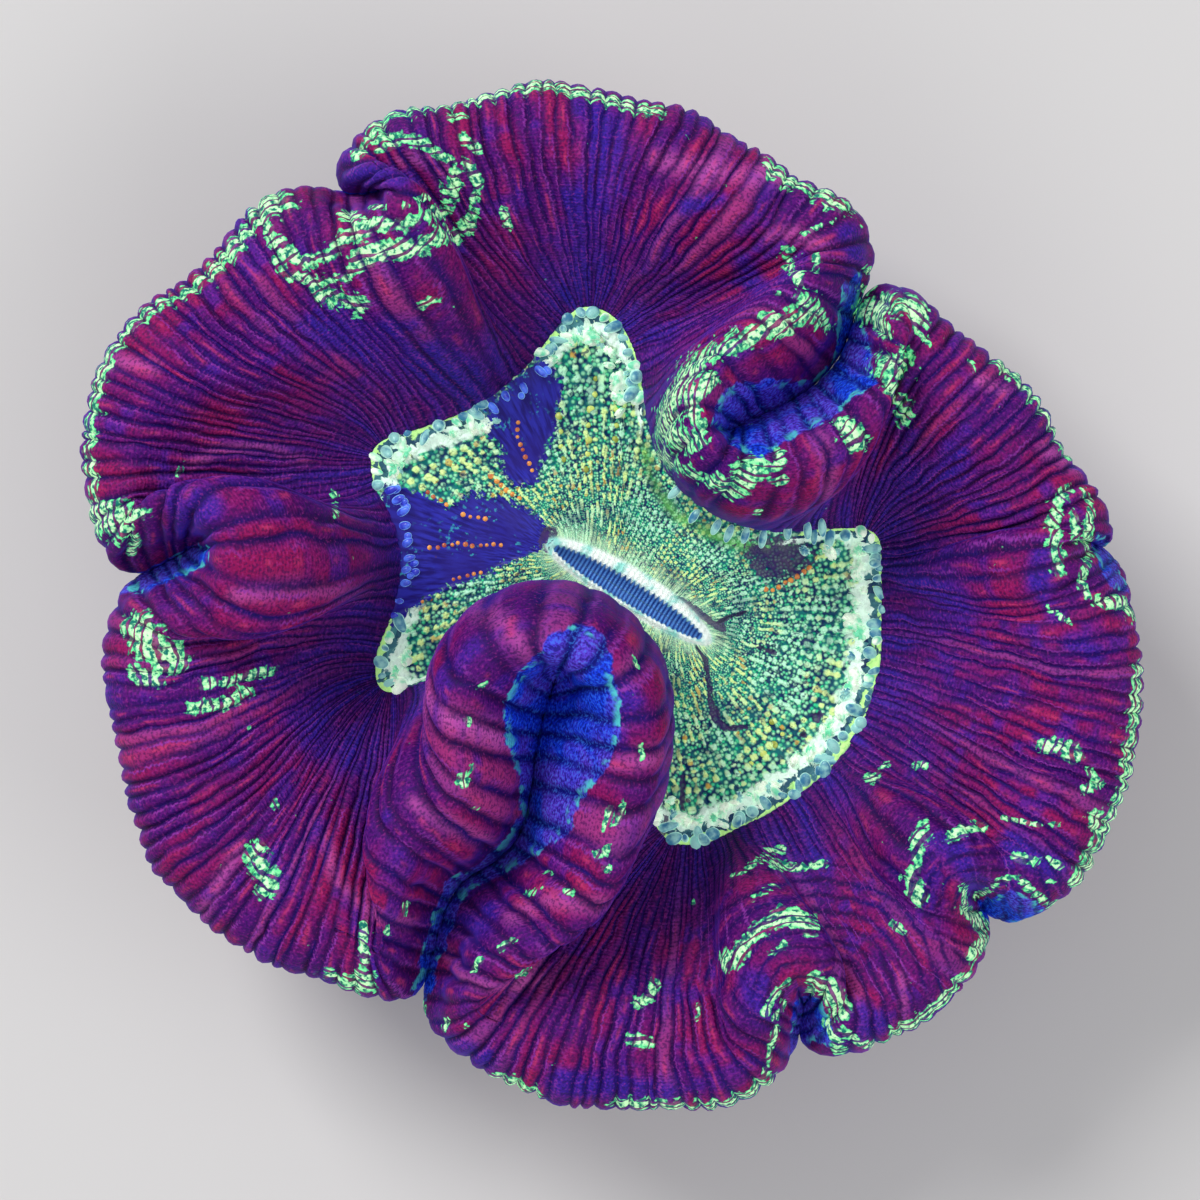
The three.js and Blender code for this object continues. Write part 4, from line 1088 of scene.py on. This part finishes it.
def discMaterial():
    material, tree, shader = newMaterial("beadedDisc", tone(110, 200, 150), 0.5)
    run = putNode(tree, "ShaderNodeUVMap", uv_map="run").outputs[0]
    place = putNode(tree, "ShaderNodeTexCoord").outputs["Object"]
    bead = attribute(tree, "bead")
    sector = useGroup(tree, tornPatch, {"Mask": attribute(tree, "violet"), "Vector": place, "Scale": 2000.0,
                                        "Tear": 1.3})["Patch"]
    fine = useGroup(tree, grains, {"Vector": run, "Scale": 2.2})
    coarse = useGroup(tree, grains, {"Vector": run, "Scale": 1.0})
    mottle = noise(tree, place, 700, 3)
    patchy = noise(tree, place, 230, 2)
    # dark gaps, small grains in them, and pale yellow, amber or mint beads on top
    gap = blendColour(tree, span(tree, mottle, 0.4, 0.62), tone(0, 38, 84), tone(0, 108, 108))
    grain = blendColour(tree, fine["Pick"], tone(44, 214, 146), tone(184, 255, 200))
    ground = blendColour(tree, maths(tree, "MULTIPLY", fine["Grain"], 0.9), gap, grain)
    top = blendColour(tree, span(tree, coarse["Pick"], 0.8, 0.94), tone(226, 255, 160), tone(204, 164, 70))
    top = blendColour(tree, span(tree, patchy, 0.42, 0.6), top, tone(190, 255, 214))
    green = blendColour(tree, span(tree, bead, 0.35, 0.8, 0.0, 0.9), ground, top)
    shadow = span(tree, noise(tree, place, 520, 3), 0.52, 0.68, 0.0, 0.5)
    green = blendColour(tree, shadow, green, tone(0, 46, 84))
    crack = span(tree, noise(tree, place, 1900, 2), 0.56, 0.68, 0.0, 0.8)
    green = blendColour(tree, crack, green, tone(0, 34, 84))
    veil = blendColour(tree, span(tree, mottle, 0.36, 0.6), tone(14, 84, 60), tone(112, 196, 84))
    green = blendColour(tree, maths(tree, "MULTIPLY", attribute(tree, "veil"), 0.7, clamp=True), green, veil)
    # pale rows that leave the lips, and the white fringe
    threads = runNoise(tree, run, 2.2, 0.12, 1.4)
    pale = maths(tree, "MULTIPLY", attribute(tree, "rays"), span(tree, threads, 0.42, 0.56, 0.1, 0.7))
    green = blendColour(tree, pale, green, tone(214, 255, 206))
    # from the edge inwards: a thin bright line, a glassy zone, then a ragged white band
    fringe = attribute(tree, "fringe")
    ragged = maths(tree, "SUBTRACT", noise(tree, place, 800, 3, 0.8), 0.5)
    ragged = maths(tree, "MULTIPLY_ADD", ragged, 3.2, attribute(tree, "edge"))
    glassy = blendColour(tree, coarse["Pick"], tone(10, 40, 84), tone(74, 134, 140))
    green = blendColour(tree, maths(tree, "MULTIPLY", span(tree, ragged, 1.6, 1.2), fringe), green, glassy)
    white = maths(tree, "MULTIPLY", span(tree, ragged, 1.1, 1.3), span(tree, ragged, 2.8, 2.3))
    green = blendColour(tree, maths(tree, "MULTIPLY", white, fringe), green, tone(228, 255, 236))
    line = maths(tree, "MULTIPLY", span(tree, ragged, 0.42, 0.2), fringe)
    green = blendColour(tree, line, green, tone(196, 255, 150))
    # the violet sector, drawn out in threads, with a few blue-green flecks
    threads = runNoise(tree, run, 1.6, 0.25, 1.6, 4)
    violetSkin = blendColour(tree, span(tree, threads, 0.36, 0.64), tone(22, 8, 104), tone(40, 40, 160))
    violetSkin = blendColour(tree, span(tree, patchy, 0.44, 0.62, 0.0, 0.6), violetSkin, tone(34, 20, 120))
    flecks = maths(tree, "MULTIPLY", span(tree, noise(tree, place, 2400, 3), 0.56, 0.68),
                   span(tree, noise(tree, place, 420, 2), 0.5, 0.62))
    violetSkin = blendColour(tree, flecks, violetSkin, tone(50, 150, 170))
    colour = blendColour(tree, sector, green, violetSkin)
    # the furrows are dark, and the shade patch is a painted shadow under the upper right fold
    furrow = useGroup(tree, tornPatch, {"Mask": attribute(tree, "dark"), "Vector": place, "Scale": 1500.0,
                                        "Tear": 1.7})["Patch"]
    furrowAndShadowTone = blendColour(tree, mottle, tone(8, 18, 96), tone(92, 56, 96))
    colour = blendColour(tree, maths(tree, "MULTIPLY", furrow, 0.86), colour, furrowAndShadowTone)
    lipShare = maths(tree, "MULTIPLY", attribute(tree, "lip"), maths(tree, "SUBTRACT", 1.0, sector))
    lipTone = blendColour(tree, span(tree, mottle, 0.36, 0.56), tone(150, 226, 214), tone(244, 255, 248))
    colour = blendColour(tree, lipShare, colour, lipTone)
    slitTone = blendColour(tree, attribute(tree, "bars"), tone(22, 46, 124), tone(88, 146, 214))
    colour = blendColour(tree, attribute(tree, "slit"), colour, slitTone)
    tree.links.new(colour, shader.inputs["Base Color"])
    tree.links.new(colour, shader.inputs["Emission Color"])
    shader.inputs["Emission Strength"].default_value = disc["glow"]
    height = maths(tree, "MULTIPLY", fine["Grain"], maths(tree, "SUBTRACT", 1.0, sector))
    tree.links.new(bumpNormal(tree, height, 0.6, 0.0002), shader.inputs["Normal"])
    tree.links.new(span(tree, mottle, 0.3, 0.7, 0.35, 0.55), shader.inputs["Roughness"])
    shader.inputs["Specular IOR Level"].default_value = disc["shine"]
    return material


discPiece = buildDisc()
discPiece.data.materials.append(discMaterial())
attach(discPiece, "root")
print("oral disc made,", triangles(discPiece), "triangles")

tentacles = {
    # rows of beads on the disc, by their colour
    "amber": [
        [(-8.1, 15.2), (-8.1, 13.8), (-7.7, 12.9), (-7.1, 11.7), (-6.8, 10.75)],
        [(-10.4, 10.65), (-9.7, 10.07), (-8.8, 9.2), (-7.9, 8.7)],
        [(-15.8, 9.2), (-14.7, 8.6), (-13.8, 8.04)], [(-12.7, 7.4), (-11.6, 7.08), (-10.8, 7.08)],
        [(-15.6, 4.5), (-14.5, 4.66), (-13.4, 4.9), (-12.5, 4.76), (-11.4, 4.66), (-10.2, 4.76),
         (-9.15, 4.86)],
        [(-13.6, 1.77), (-11.95, 2.25), (-11.2, 2.44)], [(-16.2, -0.07), (-15.5, 0.22)],
        [(13, 0.95), (13.7, 0.9), (14.7, 1.5), (15.9, 2.2), (17, 2.9)],
    ],
    "honey": [
        [(-1.5, 18.9), (-1.7, 17.3), (-2.2, 15.2), (-2, 13.2), (-2.3, 11.2)],
        [(0.2, 17.6), (0.3, 15.2), (0.2, 12.6)],
        [(-4.6, 15.8), (-4.4, 13.6), (-4.2, 12)], [(3.2, -13.4), (3.6, -15.4), (4.2, -17)],
        [(13.6, -10.4), (14.6, -11.6), (12.4, -13.4), (10.4, -15)],
    ],
    "beadPitch": {"amber": 0.62, "honey": 1.3},
    "beadWidth": {"amber": 0.58, "honey": 0.74},
    "pitch": 1.3,
    "length": 2.5,
    "width": 1.6,
    "lump": 1.25,
    "rootHeight": 16.7,
    "lumpHeight": 16.4,
    "hangingHeight": 18.2,
    # the violet ones stand alone, and the hanging ones come out under the upper right fold
    "violet": [(-18.3, 8.6), (-17.9, 7.6), (-17.8, 6.4), (-17.6, 4.9), (-17.5, 3.6), (-17.8, 2.6),
               (-17.9, 1.5), (-18.5, 0), (-18.9, -1.2), (-10.3, 16.6), (-9.2, 17.6), (-7.6, 18.2),
               (-6.2, 19.6), (-19, 9.4)],
    "hanging": [(4.4, 8.4), (6.2, 6.2), (8.2, 5.2), (9.4, 4.6), (10.9, 4.4), (12.5, 4.1), (14.8, 4.7),
                (16.6, 4.8), (17.9, 5)],
}


# A blunt finger, a millimetre high, standing on the origin
def fingerStart():
    bpy.ops.object.select_all(action="DESELECT")
    bpy.ops.mesh.primitive_uv_sphere_add(segments=14, ring_count=10, radius=0.5, location=(0, 0, 0.5))
    finger = bpy.context.object
    for v in finger.data.vertices:
        v.select = v.co.z < 0.1
    bpy.ops.object.mode_set(mode="EDIT")
    bpy.ops.transform.resize(value=(0.8, 0.8, 1), center_override=(0, 0, 0.5))
    bpy.ops.transform.translate(value=(0, 0, -0.5))
    bpy.ops.object.mode_set(mode="OBJECT")
    bpy.ops.object.transform_apply(location=True, rotation=True, scale=True)
    return finger


# A crumpled lump for the bright tips that are drawn in
def lumpStart(seed):
    bpy.ops.object.select_all(action="DESELECT")
    bpy.ops.mesh.primitive_ico_sphere_add(subdivisions=3, radius=0.5, location=(0, 0, 0.25))
    lump = bpy.context.object
    bpy.ops.object.mode_set(mode="EDIT")
    bpy.ops.mesh.select_all(action="SELECT")
    bpy.ops.transform.vertex_random(offset=0.17, uniform=0.7, normal=0.6, seed=seed)
    bpy.ops.transform.resize(value=(1.15, 0.8, 0.75), center_override=(0, 0, 0.25))
    bpy.ops.object.mode_set(mode="OBJECT")
    bpy.ops.object.transform_apply(location=True, rotation=True, scale=True)
    return lump


# How high the disc stands at a place, read from the nearest point of its mesh
def discHeightAt(spot):
    near = toFrame([*spot, coral["discHeight"]])
    _, found, _, _ = discPiece.closest_point_on_mesh(Vector(near) + Vector((0, 0, 0.001)))
    return found.z / fitFactor


def buildTentacles():
    dense, step = denseOralEdge()
    total = int(step.sum() / tentacles["pitch"])
    edge = readRound(dense, evenPlaces(step, total * 3))
    inward = leftOf(around(edge))
    shown = showsFringe(edge)
    finger = fingerStart()
    lumps = [lumpStart(seed) for seed in range(5)]
    made = {"glassy": [], "violet": [], "bright": [], "amber": [], "honey": []}

    def place(start, kind, spot, height, way, tilt, size):
        piece = start.copy()
        piece.data = start.data.copy()
        bpy.context.scene.collection.objects.link(piece)
        aim = Vector((way[0] * math.cos(tilt), way[1] * math.cos(tilt), math.sin(tilt)))
        turn = aim.to_track_quat("Z", "Y").to_matrix().to_4x4()
        turn = turn @ Matrix.Rotation(random.uniform(0, 6.28), 4, "Z")
        shape = Matrix.Diagonal((*size, 1))
        x, y, z = toFrame([*spot, height])
        piece.data.transform(Matrix.Translation((x, y, z)) @ turn @ shape @ Matrix.Scale(fitFactor, 4))
        made[kind].append(piece)

    for k in range(total * 3):
        spot, way = edge[k], inward[k]
        wide = tentacles["width"] * random.uniform(0.42, 1.0)
        long = tentacles["length"] * random.uniform(0.5, 1.2)
        sideways = turned(way, random.uniform(-0.8, 0.8))
        if shown[k] < 0.5:
            continue
        if k % 3 == 0 or random.random() < 0.2:
            place(finger, random.choice(["glassy", "glassy", "glassy", "bright"]),
                  spot + way * random.uniform(-0.3, 0.8), tentacles["rootHeight"], sideways,
                  random.uniform(0.1, 1.2), (wide, wide, long))
        lump = tentacles["lump"] * random.uniform(0.5, 1.1)
        stretch = random.uniform(0.8, 1.7)
        if k % 3 == 1 and random.random() < 0.8:
            place(random.choice(lumps), "bright", spot + way * random.uniform(1.3, 2.1),
                  tentacles["lumpHeight"], sideways, 0.4, (lump, lump * 0.7, lump * stretch))
        if k % 3 == 2 and random.random() < 0.6:
            place(random.choice(lumps), random.choice(["bright", "glassy"]),
                  spot + way * random.uniform(0.8, 2.6), 16.3, sideways, 0.8,
                  (lump * 0.7, lump * 0.6, lump * 0.7 * stretch))
    for spot in np.array(tentacles["violet"]):
        nearest = np.argmin(np.linalg.norm(edge - spot, axis=1))
        way = turned(inward[nearest], random.uniform(-0.4, 0.4))
        wide = random.uniform(0.75, 0.95)
        place(finger, "violet", spot, tentacles["rootHeight"], way, random.uniform(0.3, 0.6),
              (wide, wide, random.uniform(1.3, 1.7)))
        if random.random() < 0.6:
            beside = spot + way * random.uniform(0.3, 0.8) + leftOf(way) * random.uniform(-0.6, 0.6)
            place(finger, "violet", beside, 16.5, way, random.uniform(0.3, 1.2), (wide, wide, 1.2))
    for spot in np.array(tentacles["hanging"]):
        nearest = np.argmin(np.linalg.norm(edge - spot, axis=1))
        way = inward[nearest]
        place(finger, "glassy", spot - way * 1.2, tentacles["hangingHeight"], way, -0.35,
              (0.9, 0.9, random.uniform(1.4, 1.8)))
    # beads in rows on the disc
    for kind in ("amber", "honey"):
        for row in tentacles[kind]:
            row = np.array(row, float)
            run = np.concatenate([[0], np.cumsum(np.linalg.norm(np.diff(row, axis=0), axis=1))])
            for d in np.arange(0, run[-1] + 0.1, tentacles["beadPitch"][kind]):
                spot = np.array([np.interp(d, run, row[:, 0]), np.interp(d, run, row[:, 1])])
                spot = spot + np.array([random.uniform(-0.08, 0.08), random.uniform(-0.08, 0.08)])
                wide = tentacles["beadWidth"][kind] * random.uniform(0.8, 1.25)
                place(finger, kind, spot, discHeightAt(spot) - 0.12, (1, 0), 1.57, (wide, wide, 0.42))
    pieces = []
    for kind, copies in made.items():
        bpy.ops.object.select_all(action="DESELECT")
        for piece in copies:
            piece.select_set(True)
        bpy.context.view_layer.objects.active = copies[0]
        bpy.ops.object.join()
        piece = bpy.context.object
        piece.name = kind + "Tentacles"
        bpy.ops.object.shade_smooth()
        pieces.append(piece)
    for start in [finger, *lumps]:
        bpy.data.objects.remove(start)
    return pieces


def tentacleMaterial(name, dark, light, rim, glow):
    material, tree, shader = newMaterial(name, light, 0.3)
    place = putNode(tree, "ShaderNodeTexCoord").outputs["Object"]
    mottle = noise(tree, place, 900, 3)
    body = blendColour(tree, span(tree, mottle, 0.36, 0.6), dark, light)
    # painted rim light: the colour turns to the rim tone as the surface turns from view
    edge = putNode(tree, "ShaderNodeLayerWeight", {"Blend": 0.4}).outputs["Facing"]
    colour = blendColour(tree, span(tree, edge, 0.3, 0.75), body, rim)
    tree.links.new(colour, shader.inputs["Base Color"])
    tree.links.new(colour, shader.inputs["Emission Color"])
    shader.inputs["Emission Strength"].default_value = glow
    pits = noise(tree, place, 2600, 3)
    tree.links.new(bumpNormal(tree, pits, 0.4, 0.0001), shader.inputs["Normal"])
    return material


# how each kind looks: dark and light body colours, the colour towards its outline as painted rim light
# (painted edge shade on the amber and honey beads), and its glow
tonesWithPaintedRims = {
    "glassy": (tone(56, 120, 156), tone(144, 204, 196), tone(206, 255, 236), 0.34),
    "violet": (tone(48, 50, 180), tone(84, 122, 240), tone(160, 220, 255), 0.35),
    "bright": (tone(110, 220, 170), tone(240, 255, 232), tone(236, 255, 232), 0.36),
    "amber": (tone(176, 84, 60), tone(236, 158, 72), tone(120, 52, 70), 0.25),
    "honey": (tone(150, 160, 60), tone(214, 232, 120), tone(120, 130, 50), 0.2),
}
for piece in buildTentacles():
    kind = piece.name.replace("Tentacles", "")
    piece.data.materials.clear()
    piece.data.materials.append(tentacleMaterial(kind + "Skin", *tonesWithPaintedRims[kind]))
    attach(piece, "root")
print("tentacles made")

stage = {
    "cameraPlace": (-0.0011, 0, 0.402),
    "lens": 135,
    "floorColour": tone(214, 212, 210),
    "skyColour": (0.92, 0.94, 1, 1),
    "skyStrength": 0.45,
    # name, place, size in metres and power
    "lamps": [("key", (-0.5, 0.55, 0.7), 0.4, 7), ("fill", (0.7, -0.2, 0.6), 0.6, 2),
              ("back", (0.1, -0.8, 0.5), 0.5, 1.5)],
}


def buildStage():
    bpy.ops.object.select_all(action="DESELECT")
    bpy.ops.mesh.primitive_plane_add(size=4)
    floor = bpy.context.object
    floor.name = "floor"
    material, _, shader = newMaterial("paleFloor", stage["floorColour"], 0.8)
    shader.inputs["Base Color"].default_value = stage["floorColour"]
    floor.data.materials.append(material)
    for name, place, size, power in stage["lamps"]:
        light = bpy.data.lights.new(name, "AREA")
        light.size = size
        light.energy = power
        lamp = bpy.data.objects.new(name, light)
        lamp.location = place
        lamp.rotation_euler = Vector(place).to_track_quat("Z", "Y").to_euler()
        bpy.context.scene.collection.objects.link(lamp)
    world = bpy.data.worlds.new("softWorld")
    world.use_nodes = True
    sky = world.node_tree.nodes["Background"]
    sky.inputs["Color"].default_value = stage["skyColour"]
    sky.inputs["Strength"].default_value = stage["skyStrength"]
    bpy.context.scene.world = world
    bpy.context.scene.view_settings.view_transform = "Standard"
    camera = bpy.data.objects.new("camera", bpy.data.cameras.new("camera"))
    camera.location = stage["cameraPlace"]
    camera.data.lens = stage["lens"]
    camera.data.sensor_width = 36
    bpy.context.scene.collection.objects.link(camera)
    bpy.context.scene.camera = camera


buildStage()

# what a new Blender file starts with
for extra in [o for o in bpy.data.objects if o.name in ("Cube", "Light", "Camera")]:
    bpy.data.objects.remove(extra)
print("scene ready")
